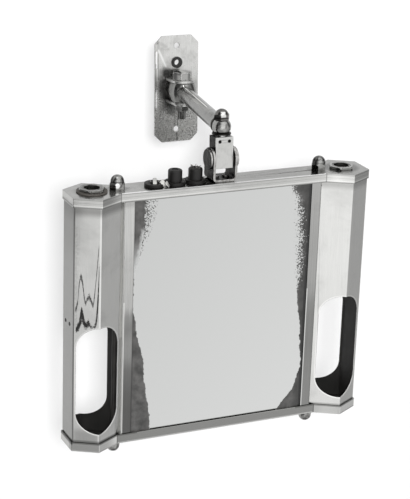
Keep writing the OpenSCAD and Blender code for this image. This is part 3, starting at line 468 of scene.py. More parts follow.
# drawn and polished tube: the lines run along it, with a painted highlight streak between two painted dark
# reflections on top, and the knuckle painted darker as painted shade
armNickel = fittingFinish(
    "nickelPlatedTube", place="arm", clean="#949492", dull="#6C6C6A", tarnish=(0.5, 0.75), cloudMm=14,
    rubMm=(60, 1.1, 1.1), rubTone=0.1, rubDeep=0.005, pitMm=1.6, pitFrom=0.66, rough=(0.11, 0.2), hollowMm=20,
    hollowDeep=0.03, marks=[mark("#4A4A49", 0.4, 3, x=(184, 215), torn=True),
                            mark("#3E3E3D", 0.9, 0.5, x=(60, 182), y=(2.4, 3.2), z=(0, 10)),
                            mark("#FAFAF8", 0.9, 0.5, x=(60, 182), y=(1.1, 2.3), z=(0, 10)),
                            mark("#3E3E3D", 0.85, 0.5, x=(60, 182), y=(-0.1, 0.9), z=(0, 10))])


def wallPlateFinish():
    # plate painted darker round and below the knuckle's height and pale at the top, a painted shade; a painted shadow
    # left of the bolt, painted highlights and dark lines along its left edge, and a painted highlight along its foot
    look = {"place": "row", "clean": "#DCDCDA", "dull": "#C2C2C0", "pit": "#33322F", "tarnish": (0.46, 0.7),
            "cloudMm": 15, "rubMm": (1.2, 8, 14), "rubTone": 0.06, "rubDeep": 0.008, "pitMm": 1.5, "pitFrom": 0.56,
            "rough": (0.22, 0.36), "hollowMm": 14, "hollowDeep": 0.05}
    material, tree, shader, here, colour, _ = platedSurface("wornAndShadedPlateNickel", look)
    # painted shade: darker round and below the knuckle's height
    height = add(tree, "SeparateXYZ", here, out="Z")
    colour = shadeAlong(tree, height, colour, [(-70, 0.9), (-35, 0.8), (-20, 0.7), (0, 0.72), (20, 0.84), (40, 0.88),
                                               (70, 0.88)])
    # fine dark and light speckle on the lower part
    low = add(tree, "MapRange", height, -2, -26, **smooth)
    specks = add(tree, "TexNoise", here, Scale=0.7, Detail=4, Roughness=0.75)
    for start, end, tone in ((0.52, 0.6, "#2E2D2C"), (0.45, 0.38, "#F0F0EE")):
        share = add(tree, "Math MULTIPLY", add(tree, "MapRange", specks, start, end, 0, 0.8), low)
        colour = blendColours(tree, share, colour, tone)
    # a painted shadow left of the bolt, painted highlights and dark lines along the left edge, a painted highlight
    # along the foot, a smudge and a dark streak under the lower hole
    colour = paintMarks(tree, here, colour, [
        mark("#4E4D4C", 0.85, 7, x=(-20, -8), y=(-4, 0), z=(-27, 25), torn=True),
        mark("#5A5958", 0.6, 6, x=(-19, -11), y=(-4, 0), z=(-24, 22)),
        mark("#FFFFFF", 1, 0.6, line=((-25.0, -3, 44), (-25.1, -3, 26)), half=0.8),
        mark("#F4F4F2", 0.7, 0.8, line=((-24.2, -3, 24), (-24.6, -3, 2)), half=0.7),
        mark("#FFFFFF", 1, 0.6, line=((-25.0, -3, 0), (-25.2, -3, -20)), half=0.8),
        mark("#FFFFFF", 0.6, 2.2, line=((-22.5, -3, 46), (-13.7, -3, 27)), half=0.9),
        mark("#5A5958", 0.6, 0.7, line=((-23.2, -3, 42), (-23.0, -3, 12)), half=0.5),
        mark("#3A3938", 0.7, 0.6, line=((-25.9, -3, 30), (-26.0, -3, -2)), half=0.4),
        mark("#5A5958", 0.5, 1.2, line=((-20.8, -3, 24), (-20.4, -3, -30)), half=0.6),
        mark("#5A5958", 0.6, 2, at=(-23.5, -3, 55), radius=2.2, torn=True),
        mark("#4A4948", 0.6, 1.0, line=((0.4, -3, -52), (1.0, -3, -61)), half=0.9),
        mark("#E6E6E4", 0.5, 0.8, z=(-63, -60.6))])
    feed(tree, shader, {"Base Color": colour})
    return material


wallPlateNickel = wallPlateFinish()
# brass nearly black, and the same brass pale on the yoke's rims that face forwards, partly worn and partly painted
# light
darkBrass = fittingFinish("darkenedBrass", clean="#2B2A28", dull="#1B1A19", pit="#100F0E", cloudMm=5,
                          tarnish=(0.4, 0.7), rubMm=(3, 3, 0.6), rubTone=0.1, rubDeep=0.01, pitMm=1.2, pitFrom=0.55,
                          rough=(0.3, 0.5), hollowMm=6, hollowDeep=0.05)
yokeRimWornAndLit = fittingFinish("yokeRimWornAndLitBrass", clean="#B9B8B6", dull="#84827F", tarnish=(0.45, 0.7), cloudMm=4,
                         rubMm=(1.5, 1.5, 1.5), rubTone=0.08, rubDeep=0.01, pitMm=1.1, pitFrom=0.58, rough=(0.22, 0.4),
                         hollowMm=5, hollowDeep=0.04)
# turned steel, dull and pitted
dullSteel = fittingFinish("dullSteel", clean="#8E8D8B", dull="#4C4B49", pit="#221F1C", tarnish=(0.4, 0.66),
                          cloudMm=5, rubTone=0.1, rubDeep=0.02, pitMm=1.2, pitFrom=0.52, rough=(0.24, 0.44),
                          hollowMm=6, hollowDeep=0.05)
# rolled steel sheet, greyed in slow clouds with a few rust points
backSteel = fittingFinish("greyedBackPanel", place="head", clean="#838280", dull="#71706D", pit="#3A2A1E",
                          tarnish=(0.3, 0.75), cloudMm=60, rubMm=(70, 70, 0.9), rubTone=0.06, rubDeep=0.02, pitMm=3.2,
                          pitFrom=0.58, rough=(0.36, 0.56), hollowMm=60, hollowDeep=0.2)
# spun brass of the lamp caps, never plated
brass = fittingFinish("bareBrass", clean="#A39C8C", dull="#6F6A5E", pit="#2E2A22", tarnish=(0.4, 0.7),
                      cloudMm=4, rubMm=(3, 3, 0.4), rubTone=0.06, rubDeep=0.008, pitMm=1.2, pitFrom=0.6,
                      rough=(0.2, 0.38), hollowMm=5, hollowDeep=0.03)
# stamped contacts with a dull white coat of tin
tinned = fittingFinish("tinnedContact", place="head", clean="#C4C4C1", dull="#8A8A86", pit="#6B6963",
                       tarnish=(0.5, 0.8), cloudMm=2, rubMm=(1, 1, 1), rubDeep=0.01, pitMm=0.8, pitFrom=0.7,
                       rough=(0.25, 0.4), hollowMm=2, hollowDeep=0.03)
# cut copper strands, tarnished grey
copper = fittingFinish("copperStrand", place="head", clean="#A6A3A0", dull="#6E6B68", pit="#2A2826",
                       tarnish=(0.4, 0.7), cloudMm=1, rubMm=(0.6, 0.6, 0.6), rubTone=0.06, rubDeep=0.004, pitMm=0.6,
                       pitFrom=0.7, rough=(0.3, 0.5), hollowMm=1, hollowDeep=0.01)
# blackened steel screws
blackened = fittingFinish("blackenedScrew", clean="#1F1E1D", dull="#121110", pit="#0A0909",
                          tarnish=(0.4, 0.7), cloudMm=1.5, rubMm=(0.6, 0.6, 0.6), rubTone=0.1, rubDeep=0.01, pitMm=0.6,
                          pitFrom=0.6, rough=(0.3, 0.5), hollowMm=1, hollowDeep=0.01)
# painted shade: the inside of the housings and the rods in their dark gaps are painted near black, with a grain
insideShade = mattFinish("paintedShadeInside", place="head", dark="#141413", light="#232221", grainMm=(1.5, 1.5, 20), cloudMm=22,
                    rough=(0.5, 0.7), deep=0.02, ior=1.4)
paintedShadeRod = mattFinish("paintedShadeRod", place="head", dark="#161514", light="#2A2927", grainMm=(0.8, 0.8, 5), cloudMm=14,
                       rough=(0.45, 0.65), deep=0.02, ior=1.45)
# moulded resin, its gloss lost to age
bakelite = mattFinish("blackBakelite", place="head", dark="#0B0A0A", light="#181716", grainMm=(0.5, 0.5, 0.5),
                      cloudMm=5, rough=(0.38, 0.62), deep=0.03, ior=1.45)
# vulcanised rubber, matt and dusty
rubber = mattFinish("blackRubber", place="row", dark="#141413", light="#262524", grainMm=(0.4, 0.4, 0.4), cloudMm=3,
                    rough=(0.55, 0.75), deep=0.03, ior=1.52)
# pressed paper fibre: short dark threads in one direction
fibre = mattFinish("vulcanisedFibre", place="head", dark="#393633", light="#524F4B", grainMm=(2.5, 0.4, 0.4),
                   cloudMm=4, rough=(0.6, 0.8), deep=0.03, ior=1.5)
# brown board with a felt-like grain, and planed wood whose grain runs upright
hardboard = mattFinish("pressedHardboard", place="head", dark="#6B4A2E", light="#8F6A46", grainMm=(1.2, 1.2, 1.2),
                       cloudMm=20, rough=(0.6, 0.8), deep=0.05, ior=1.5)
beech = mattFinish("planedBeech", place="head", dark="#A67C52", light="#C9A377", grainMm=(0.8, 0.8, 25), cloudMm=18,
                   rough=(0.5, 0.7), deep=0.03, ior=1.5)
# fired clay without glaze, yellowed by heat
porcelain = mattFinish("unglazedPorcelain", place="head", dark="#CFCABF", light="#E6E2D8", grainMm=(0.6, 0.6, 0.6),
                       cloudMm=9, rough=(0.3, 0.5), deep=0.01, ior=1.5)
# blown white glass, glossy
opal = mattFinish("opalLampGlass", place="head", dark="#E4E3DE", light="#F0EFEB", grainMm=(3, 3, 3), cloudMm=14,
                  rough=(0.08, 0.14), deep=0.004, ior=1.5)

# width in mm of the band beside each channel where the silver has gone, at heights in mm above the head's middle
foxing = {
    "left": [(-140, 22), (-118, 22.3), (-109, 20.8), (-100, 19.2), (-91, 17.2), (-82, 16.7), (-73, 15), (-64, 14.2),
             (-55, 13.6), (-46, 12.6), (-37, 10), (-28, 7.5), (-19, 5), (-10, 4), (-1, 3.4), (8, 0.5), (35, 0),
             (46, 1.5), (55, 3.2), (68, 6), (84, 9), (92, 10.4), (100, 11.3), (110, 12.4), (120, 12.6), (130, 14)],
    "right": [(-140, 35), (-135, 32), (-127, 28), (-118, 19.8), (-109, 11.6), (-100, 8), (-91, 5.9), (-82, 2.9),
              (-73, 2.3), (-64, 3.9), (-46, 5), (-28, 6), (-19, 8), (-10, 9.5), (8, 11.5), (26, 10.5), (44, 10),
              (62, 11), (71, 10.5), (80, 12), (98, 12.5), (107, 15), (116, 15), (125, 22), (130, 22)],
    # how far in mm the edge is broken up in crumbs
    "leftCrumbs": [(-140, 0), (62, 0), (80, 4), (95, 7), (105, 9), (115, 11), (130, 13)],
    "rightCrumbs": [(-140, 0), (5, 0), (20, 4), (50, 6), (100, 6), (130, 3)],
    # crumb noise and how far it draws the edge in or out, as shares of the crumbs' reach
    "leftSpecks": (0.47, 0.72, -0.12, 1.9), "rightSpecks": (0.3, 0.7, -1.7, 1.5),
    # lowest and highest place and the greatest width in the lists above, in mm
    "low": -140, "high": 130, "widest": 40,
    "silver": ("#D0D1D0", "#DDDEDD"), "backing": ("#2C2C2B", "#504F4E")}


def alongEdge(tree, up, rows):
    # a width in mm that changes with the height
    low, high, widest = foxing["low"], foxing["high"], foxing["widest"]
    return add(tree, "FloatCurve", Value=up, curve=[((z - low) / (high - low), width / widest) for z, width in rows])


def foxedMirror():
    # silvered float glass: the silver mirrors with a faint haze, and where damp crept in from the sides it has gone,
    # so that the dark backing shows with a torn edge and black specks before it
    material, tree, shader = newFinish("foxedSilverGlass")
    here = millimetres(tree, "head")
    spot = add(tree, "SeparateXYZ", here, out=None)
    up = add(tree, "MapRange", spot[2], foxing["low"], foxing["high"])
    torn = add(tree, "TexNoise", here, Scale=0.25, Detail=5, Roughness=0.6)
    crumbs = add(tree, "TexNoise", here, Scale=0.6, Detail=3, Roughness=0.65)
    bare = None
    for side, sign in (("left", 1), ("right", -1)):
        edge = alongEdge(tree, up, foxing[side])
        edge = add(tree, "Math MULTIPLY_ADD", edge, foxing["widest"], -head["sightHalf"])
        away = add(tree, "Math SUBTRACT", edge, add(tree, "Math MULTIPLY", spot[0], sign))
        # the edge wanders by about 1 mm, and where it is crumbly it breaks up in specks
        away = add(tree, "Math ADD", away, add(tree, "Math MULTIPLY_ADD", torn, 5, -2.5))
        reach = alongEdge(tree, up, foxing[side + "Crumbs"])
        reach = add(tree, "Math MULTIPLY", reach, foxing["widest"])
        drift = add(tree, "Math MULTIPLY", add(tree, "MapRange", crumbs, *foxing[side + "Specks"]), reach)
        mask = add(tree, "MapRange", add(tree, "Math ADD", away, drift), -0.5, 0.5, **smooth)
        # no speck lies further out than its reach
        close = add(tree, "Math GREATER_THAN", add(tree, "Math ADD", away, reach), -1.5)
        mask = add(tree, "Math MULTIPLY", mask, close)
        if side == "left":
            # between 45 and 98 mm up the left band is only smoky and fades to its edge; its specks stay dark
            smoke = add(tree, "MapRange", spot[2], 40, 92, 0.34, **smooth)
            sharp = add(tree, "MapRange", spot[2], 88, 100)
            fade = add(tree, "Math MAXIMUM", add(tree, "MapRange", away, -0.5, 4, 0.12), sharp)
            smoke = add(tree, "Math MULTIPLY", smoke, fade)
            smoke = add(tree, "Math MAXIMUM", smoke, add(tree, "Math LESS_THAN", spot[2], 45))
            smoke = add(tree, "Math MAXIMUM", smoke, add(tree, "Math LESS_THAN", away, -0.3))
            mask = add(tree, "Math MULTIPLY", mask, smoke)
        bare = mask if bare is None else add(tree, "Math MAXIMUM", bare, mask)
    stains = add(tree, "TexNoise", here, Scale=0.07, Detail=5, Roughness=0.65)
    backing = blendColours(tree, add(tree, "MapRange", stains, 0.36, 0.68), *foxing["backing"])
    # painted shadow: the bare backing is darker beside the channels' edges
    backing = paintMarks(tree, here, backing, [
        mark("#1E1E1D", 0.6, 10, x=(93, 110)),
        mark("#141414", 0.9, 1.2, x=(99.3, 103)),
        mark("#1C1C1B", 0.5, 1.0, x=(-103, -100.8))])
    # the silver is a little greyer towards the upper left
    slope = add(tree, "VectorMath DOT_PRODUCT", here, (0.0025, 0, -0.0022), out="Value")
    silver = blendColours(tree, add(tree, "Math ADD", slope, 0.5), *foxing["silver"])
    feed(tree, shader, {"Base Color": blendColours(tree, bare, silver, backing),
                        "Metallic": add(tree, "Math SUBTRACT", 1, bare),
                        "Roughness": add(tree, "MapRange", bare, 0, 1, 0.03, 0.3)})
    return material


mirrorSilver = foxedMirror()
print("finishes:", len(bpy.data.materials))

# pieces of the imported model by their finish: width of the eased edges in mm, where 0 leaves the node as it is, and,
# where the edges are rubbed through, their own finish
dressing = [
    (wallPlateNickel, {"wall_plate": 0.5, "bracket_ear_top": 0.6, "bracket_ear_bottom": 0.6}),
    (rubber, {"cable_grommet": 0.4, "cable_stubs": 0}),
    (boltNickel, {"wall_bolt": (0.4, rubbedEdge), "wall_bolt_nut": (0.4, nutEdge)}),
    (paleNickel, {"wall_bolt_washer": 0.3, "swivel_stud": 0}),
    (armNickel, {"wall_knuckle": 0.5, "arm_tube": 0, "arm_collar": 0.5}),
    (handledNickel, {"arm_ball": 0.3, "cap_nuts_bottom": 0}),
    (darkBrass, {"swivel_block": 0.4, "swivel_washers": 0.2, "tilt_yoke": 0.5, "tilt_pin": 0.3, "tilt_pin_nut": 0.3}),
    (frontPlateNickel, {"block_front_plate": 0.3}), (blackened, {"block_screws": 0}),
    (tarnishedNickel, {"dome_nut": 0}), (fibre, {"friction_washers": 0, "fibre_washer": 0.2}),
    (dullSteel, {"yoke_screws": 0.2, "yoke_screw_nuts": 0, "yoke_stiffener": 0, "lamp_nipples": 0.3,
                 "bush_ferrule": 0.2}),
    (topTrayNickel, {"top_tray": 0.5}), (bottomTrayNickel, {"bottom_tray": 0.5}),
    (leftHousingNickel, {"lamp_housing_left": 0.45}), (rightHousingNickel, {"lamp_housing_right": 0.45}),
    (leftChannelNickel, {"side_channel_left": 0.4}), (rightChannelNickel, {"side_channel_right": 0.4}),
    (mirrorSilver, {"mirror_glass": 0}), (hardboard, {"backing_board": 0}), (beech, {"glass_battens": 0}),
    (backSteel, {"back_panel": 0}), (paintedShadeRod, {"tie_rods": 0}), (capNickel, {"cap_nuts_top": 0}),
    (nutNickel, {"nipple_nuts": (0.35, nutEdge)}), (porcelain, {"lamp_holders": 0, "terminal_block": 0.4}),
    (brass, {"lamp_caps": 0}), (opal, {"lamp_bulbs": 0}), (bakelite, {"cable_bushes": 0, "open_bush": 0.3})]
easing = {"steps": 2, "sharperThan": 32, "mergeWithin": 1e-6}


def newObject(name, data):
    piece = bpy.data.objects.new(name, data)
    scene.collection.objects.link(piece)
    return piece


def weld(mesh, within, clean):
    # merges points that lie closer than a distance in metres, cleans the mesh by one more step and makes it smooth
    work = bmesh.new()
    work.from_mesh(mesh)
    bmesh.ops.remove_doubles(work, verts=work.verts, dist=within)
    clean(work)
    work.to_mesh(mesh)
    work.free()
    mesh.polygons.foreach_set("use_smooth", np.ones(len(mesh.polygons), bool))


def dressNode(name, finish, width, edge=None):
    # a merged copy of the node with eased edges stands for it
    mesh = nodes[name].data.copy()
    piece = newObject("dressed_" + name, mesh)
    near = easing["mergeWithin"]
    weld(mesh, near, lambda work: bmesh.ops.dissolve_degenerate(work, edges=work.edges, dist=near))
    for old in ("custom_normal", "sharp_edge"):
        if old in mesh.attributes:
            mesh.attributes.remove(mesh.attributes[old])
    mesh.materials.clear()
    mesh.materials.append(finish)
    ease = piece.modifiers.new("easedEdges", "BEVEL")
    ease.width = width / 1000
    ease.segments = easing["steps"]
    ease.limit_method = "ANGLE"
    ease.angle_limit = math.radians(easing["sharperThan"])
    ease.use_clamp_overlap = False
    ease.harden_normals = True
    if edge:
        mesh.materials.append(edge)
        ease.material = 1
    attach(piece, bodyOf[name])
    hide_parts(name)
    return piece


finishOf = {name: (finish, look) for finish, pieces in dressing for name, look in pieces.items()}
dressed = {}
for name in bodyOf:
    finish, look = finishOf[name]
    width, edge = look if isinstance(look, tuple) else (look, None)
    if width:
        dressed[name] = dressNode(name, finish, width, edge)
    else:
        nodes[name].data.materials.clear()
        nodes[name].data.materials.append(finish)


def faceRows(mesh, what):
    # the middles or normals of all faces, one row each
    rows = np.zeros(len(mesh.polygons) * 3)
    mesh.polygons.foreach_get(what, rows)
    return rows.reshape(-1, 3)


def otherFinish(mesh, faces, finish):
    # faces, true or false for each one, take a second finish
    mesh.materials.append(finish)
    mesh.polygons.foreach_set("material_index", faces.astype(np.int32))


def paintShadeInside(mesh, side):
    # the inside of a housing, painted in shade: faces whose middle lies deeper below the hexagon's faces than the
    # middle of the sheet take the near-black finish
    back = np.array(headPlace.inverted())
    spots = 1000 * (np.c_[faceRows(mesh, "center"), np.ones(len(mesh.polygons))] @ back.T)[:, :3]
    out, y = side * spots[:, 0] - head["hexMiddle"], np.abs(spots[:, 1])
    slope = math.atan((head["hexDepth"] - head["hexFlat"]) / head["hexWidth"])
    toSlant = (head["hexDepth"] / 2 - y) * math.cos(slope) - np.abs(out) * math.sin(slope)
    # towards the mirror the sheet runs on past the hexagon, so only the sloping faces count there
    toSide = np.where(out > 0, head["hexWidth"] / 2 - out, np.inf)
    otherFinish(mesh, np.minimum(toSide, toSlant) > head["housingInset"] + head["housingSheet"] / 2, insideShade)


paintShadeInside(dressed["lamp_housing_left"].data, -1)
paintShadeInside(dressed["lamp_housing_right"].data, 1)
# rims and edges that look forwards, but not the flat sides, take the pale brass, partly rubbed metal and partly
# painted light on the faces turned to the light: greatest part of their normal that may point sideways and least part
# that points forwards
rims = {"of": ("tilt_yoke", "tilt_pin", "tilt_pin_nut"), "sideways": 0.5, "forwards": 0.25}
for name in rims["of"]:
    normals = faceRows(dressed[name].data, "normal")
    forwards = (np.abs(normals[:, 0]) < rims["sideways"]) & (normals[:, 1] < -rims["forwards"])
    otherFinish(dressed[name].data, forwards, yokeRimWornAndLit)
print("dressed:", len(dressed), "nodes")

gridLook = {"mergeWithin": 1e-7, "sharperThan": 40}


def gridPiece(name, points, finish):
    # a small piece of the head: quads between neighbouring points of a grid (u, v, xyz) in mm, closed on itself in v
    rows, columns = points.shape[:2]
    numbers = np.arange(rows * columns).reshape(rows, columns)
    numbers = np.hstack([numbers, numbers[:, :1]])
    faces = np.stack([numbers[:-1, :-1], numbers[1:, :-1], numbers[1:, 1:], numbers[:-1, 1:]], -1).reshape(-1, 4)
    mesh = bpy.data.meshes.new(name)
    mesh.from_pydata((points.reshape(-1, 3) / 1000).tolist(), [], faces.tolist())
    mesh.transform(headPlace)
    weld(mesh, gridLook["mergeWithin"], lambda work: bmesh.ops.recalc_face_normals(work, faces=work.faces))
    mesh.set_sharp_from_angle(angle=math.radians(gridLook["sharperThan"]))
    mesh.materials.append(finish)
    piece = newObject(name, mesh)
    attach(piece, "head")


def unitRows(rows):
    return rows / np.linalg.norm(rows, axis=1, keepdims=True)


def closedEnds(body, path):
    # the first and last ring are drawn to the ends of the path
    sides = body.shape[1]
    return np.concatenate([np.repeat(path[:1, None], sides, 1), body, np.repeat(path[-1:, None], sides, 1)])


def fullTurn(sides):
    return np.linspace(0, 2 * np.pi, sides, endpoint=False)


def tubeGrid(path, radius, sides):
    # circle of the given radius carried along the path
    ahead = unitRows(np.gradient(path, axis=0))
    across = unitRows(np.cross(ahead, (0.31, 0.93, 0.2)))
    turn = fullTurn(sides)[None, :, None]
    ring = np.cos(turn) * across[:, None] + np.sin(turn) * np.cross(ahead, across)[:, None]
    return closedEnds(path[:, None] + radius * ring, path)


def turnedGrid(profile, sides):
    # profile of (radius, height) turned about the upright axis
    turn = fullTurn(sides)[None, :]
    return np.stack([profile[:, :1] * np.cos(turn), profile[:, :1] * np.sin(turn),
                     np.repeat(profile[:, 1:], sides, 1)], -1)


def moved(points, spot, toward):
    # the grid's upright axis is turned to a direction and its origin is put at a spot
    turn = np.array(Vector((0, 0, 1)).rotation_difference(Vector(toward)).to_matrix())
    return points @ turn.T + np.asarray(spot, float)


# cut wires that stick out of the right bush, in mm; the pairs are the least and most of what luck gives each wire
strands = {"number": 11, "radius": 0.3, "sides": 6, "points": 12, "from": 153.5, "rise": 6.6, "spread": 8.2,
           "sag": 0.35, "foot": 1.2, "wave": 0.35, "waves": 9, "seed": 11, "turn": (-0.3, 0.3), "reach": (0.35, 1.0),
           "height": (0.6, 1.0), "start": (0.3, 1.5), "phase": (0, 6)}


def makeStrands():
    # each wire leaves the bush upright and bows outwards: sideways distance grows as the square of its length
    luck = np.random.default_rng(strands["seed"])
    t = np.linspace(0, 1, strands["points"])
    for i in range(strands["number"]):
        angle = 2 * np.pi * (i + luck.uniform(*strands["turn"])) / strands["number"]
        reach = strands["spread"] * luck.uniform(*strands["reach"])
        rise = strands["rise"] * luck.uniform(*strands["height"]) - strands["sag"] * reach
        side = strands["foot"] * luck.uniform(*strands["start"]) + reach * t ** 2
        wave = strands["wave"] * np.sin(strands["waves"] * t + luck.uniform(*strands["phase"]))
        path = np.stack([head["rightBush"] + side * np.cos(angle) - wave * np.sin(angle),
                         side * np.sin(angle) + wave * np.cos(angle), strands["from"] + rise * t], 1)
        gridPiece(f"wireStrand{i}", tubeGrid(path, strands["radius"], strands["sides"]), copper)


makeStrands()
# two screws hold each lamp holder to the left tube, and six hold the back panel: places, radius and height in mm
screwHeads = {
    "sideScrew": {"spots": [(-168.5, 7.8, -0.4), (-168.5, -3.9, -0.3)], "radius": 2.2, "height": 0.4, "sides": 24,
                  "toward": (-1, 0, 0), "finish": blackened, "slot": "blackened_screw"},
    "backScrew": {"spots": [(x, 13.7, z) for x in (-92, 0, 92) for z in (-122, 122)], "radius": 3.0, "height": 1.1,
                  "sides": 32, "toward": (0, 1, 0), "finish": dullSteel, "slot": "steel"}}
panHead = {"points": 9, "fall": 0.75, "power": 4, "sunk": 0.1}


def makeScrewHeads():
    # low dome with a round shoulder: the height falls off as the fourth power of the radius
    r = np.linspace(0, 1, panHead["points"])
    for name, look in screwHeads.items():
        radius, height = look["radius"], look["height"]
        dome = np.c_[radius * r, height * (1 - panHead["fall"] * r ** panHead["power"])]
        profile = np.concatenate([[(0, height)], dome, [(radius, -panHead["sunk"])], [(0, -panHead["sunk"])]])
        for i, spot in enumerate(look["spots"]):
            gridPiece(f"{name}{i}", moved(turnedGrid(profile, look["sides"]), spot, look["toward"]), look["finish"])


makeScrewHeads()
# three tinned contacts lie in and beside the broken bush: foot in mm, direction of the flat, way they lean, size and
# how far they are bent
contacts = {"upright": {"foot": (-76.5, -5.5, 141), "flat": (0.98, -0.2, 0.0), "way": (-0.05, 0.1, 1), "width": 4.2,
                        "length": 8.5, "bow": 0.5},
            "leaning": {"foot": (-66.0, -8.5, 141), "flat": (0.75, 0.1, 0.65), "way": (-0.6, 0.25, 0.75), "width": 4.6,
                        "length": 7.5, "bow": -0.8},
            "fallen": {"foot": (-62.5, -10.0, 140.8), "flat": (0.8, 0.0, -0.6), "way": (-0.62, 0.1, 0.78),
                       "width": 3.6, "length": 6.0, "bow": 0.6}}
strip = {"points": 10, "sides": 16, "thick": 0.8, "widthCorner": 0.4, "thickCorner": 0.6}


def stripGrid(path, flat, width):
    # flat strip of a round-cornered section along a path: each half side is the cosine or sine raised to a power
    ahead = unitRows(np.gradient(path, axis=0))
    out = unitRows(np.cross(ahead, np.asarray(flat, float)))
    side = np.cross(out, ahead)
    a, b = np.cos(fullTurn(strip["sides"])), np.sin(fullTurn(strip["sides"]))
    acrossPart = np.sign(a) * np.abs(a) ** strip["widthCorner"] * width / 2
    outPart = np.sign(b) * np.abs(b) ** strip["thickCorner"] * strip["thick"] / 2
    return closedEnds(path[:, None] + acrossPart[None, :, None] * side[:, None]
                      + outPart[None, :, None] * out[:, None], path)


def makeContacts():
    t = np.linspace(0, 1, strip["points"])[:, None]
    for name, look in contacts.items():
        way = np.array(look["way"]) / np.linalg.norm(look["way"])
        out = np.cross(way, look["flat"])
        path = np.array(look["foot"]) + look["length"] * t * way + look["bow"] * np.sin(np.pi * t) * out
        gridPiece(name + "Contact", stripGrid(path, look["flat"], look["width"]), tinned)


makeContacts()
print("small pieces: strands, screws and contacts")

# the paper hangs so far behind the plate that the head stays in front of it at every limit of the joints
stageLook = {"pale": "#BCBCBC", "wallBack": 0.17, "wallHalf": 2.6, "floorDown": 1.6, "lift": 0.33,
             "glossLift": 0.02}


def stageFinish(name):
    # matt paper: the camera sees it lifted to white with the object's soft shadow left in it, and from behind it
    # is clear, so that the object shows from all sides
    material, tree, shader = newFinish(name)
    tree.nodes.remove(shader)
    paper = add(tree, "BsdfDiffuse", stageLook["pale"])
    rays = add(tree, "LightPath", out=None)
    lift = add(tree, "Math MULTIPLY", rays["Is Camera Ray"], stageLook["lift"])
    gloss = add(tree, "Math ADD", rays["Is Glossy Ray"], rays["Is Transmission Ray"])
    lift = add(tree, "Math MULTIPLY_ADD", gloss, stageLook["glossLift"], lift)
    both = add(tree, "AddShader", paper, add(tree, "Emission", Strength=lift))
    behind = add(tree, "Math MULTIPLY", add(tree, "NewGeometry", out="Backfacing"), rays["Is Camera Ray"])
    shown = add(tree, "MixShader", behind, both, add(tree, "BsdfTransparent"))
    feed(tree, tree.nodes["Material Output"], {"Surface": shown})
    return material


def makeStage():
    paper = stageFinish("mattPaper")
    half, down, back = stageLook["wallHalf"], stageLook["floorDown"], stageLook["wallBack"]
    corners = {"wallPaper": [(-half, back, -down), (half, back, -down), (half, back, half), (-half, back, half)],
               "floorPaper": [(-half, -half, -down), (half, -half, -down), (half, back, -down), (-half, back, -down)]}
    for name, points in corners.items():
        mesh = bpy.data.meshes.new(name)
        mesh.from_pydata(points, [], [(0, 1, 2, 3)])
        mesh.materials.append(paper)
        piece = newObject(name, mesh)
        piece.visible_glossy = name == "wallPaper"


makeStage()

# the studio round the object is grey with soft zones: direction, nearness to it, as a cosine, where the zone begins
# and where it is full, and what it adds to the level
studio = {"level": 0.52, "seenByCamera": 1.0}
zones = [
    {"toward": (-0.40, -0.88, -0.27), "from": 0.92, "to": 1.0, "level": 0.68},
    {"toward": (0.38, -0.88, -0.28), "from": 0.70, "to": 0.93, "level": 0.42},
    {"toward": (-0.98, -0.10, -0.1), "from": 0.86, "to": 0.97, "level": -0.42},
    {"toward": (0.2, -0.35, 0.92), "from": 0.72, "to": 0.92, "level": 0.7},
    {"toward": (0.0, 0.0, -1.0), "from": 0.84, "to": 0.97, "level": -0.25},
    {"toward": (-0.03, -0.96, 0.27), "from": 0.78, "to": 0.96, "level": 0.75},
    {"toward": (0.93, 0.3, -0.25), "from": 0.90, "to": 0.97, "level": -0.08},
    {"toward": (-0.39, -0.875, 0.28), "from": 0.93, "to": 0.99, "level": 0.5},
    {"toward": (0.97, 0.0, 0.25), "from": 0.85, "to": 0.96, "level": -0.36},
    {"toward": (-0.75, -0.2, 0.63), "from": 0.84, "to": 0.95, "level": -0.4}]


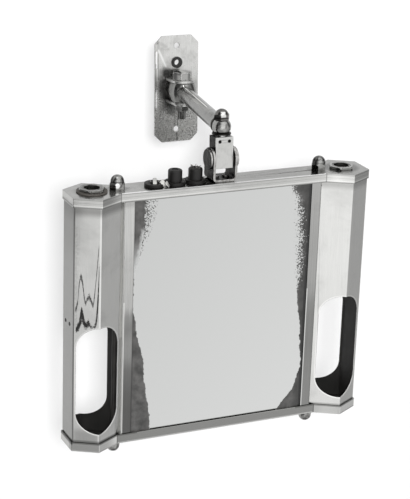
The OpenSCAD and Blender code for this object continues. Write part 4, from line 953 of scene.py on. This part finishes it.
def makeWorld():
    world = bpy.data.worlds.new("softStudio")
    scene.world = world
    world.use_nodes = True
    tree = world.node_tree
    toward = add(tree, "TexCoord", out="Generated")
    level = studio["level"]
    for zone in zones:
        unit = (np.array(zone["toward"]) / np.linalg.norm(zone["toward"])).tolist()
        near = add(tree, "VectorMath DOT_PRODUCT", toward, unit, out="Value")
        part = add(tree, "MapRange", near, zone["from"], zone["to"], 0, zone["level"], **smooth)
        level = add(tree, "Math ADD", level, part)
    level = add(tree, "Mix", add(tree, "LightPath", out="Is Camera Ray"), None, level, studio["seenByCamera"])
    feed(tree, tree.nodes["Background"], {"Color": (1, 1, 1, 1), "Strength": level})


makeWorld()

# the key stands a little right of the camera and higher, so that a narrow shadow shows only left of the head
lamps = {"keyLight": {"spot": (-0.913, -2.382, 0.56), "aim": (-0.035, -0.21, -0.197), "size": 0.2, "power": 54},
         "fillLight": {"spot": (1.7, -1.9, 1.5), "aim": (0, -0.15, -0.15), "size": 1.4, "power": 6}}


def makeLamps():
    for name, lamp in lamps.items():
        light = bpy.data.lights.new(name, "AREA")
        light.shape = "SQUARE"
        light.size = lamp["size"]
        light.energy = lamp["power"]
        piece = newObject(name, light)
        piece.location = lamp["spot"]
        piece.rotation_euler = (Vector(lamp["aim"]) - Vector(lamp["spot"])).to_track_quat("-Z", "Y").to_euler()
        piece.visible_glossy = False


makeLamps()

# solved from the corners of both trays in the photograph
view = {"spot": (-0.77256, -1.80260, 0.38100), "right": (0.91301855, -0.40775437, 0.01155398),
        "up": (0.10457397, 0.26134545, 0.95956388), "ahead": (0.39428594, 0.87489138, -0.28125374), "lens": 124.09,
        "film": 36, "farthest": 50}


def makeCamera():
    camera = newObject("camera", bpy.data.cameras.new("camera"))
    camera.data.lens = view["lens"]
    camera.data.sensor_width = view["film"]
    camera.data.clip_end = view["farthest"]
    turn = Matrix([view["right"], view["up"], [-x for x in view["ahead"]]]).transposed()
    camera.matrix_world = Matrix.Translation(view["spot"]) @ turn.to_4x4()
    scene.camera = camera


makeCamera()
scene.view_settings.view_transform = "Standard"
print("stage, lights and camera")
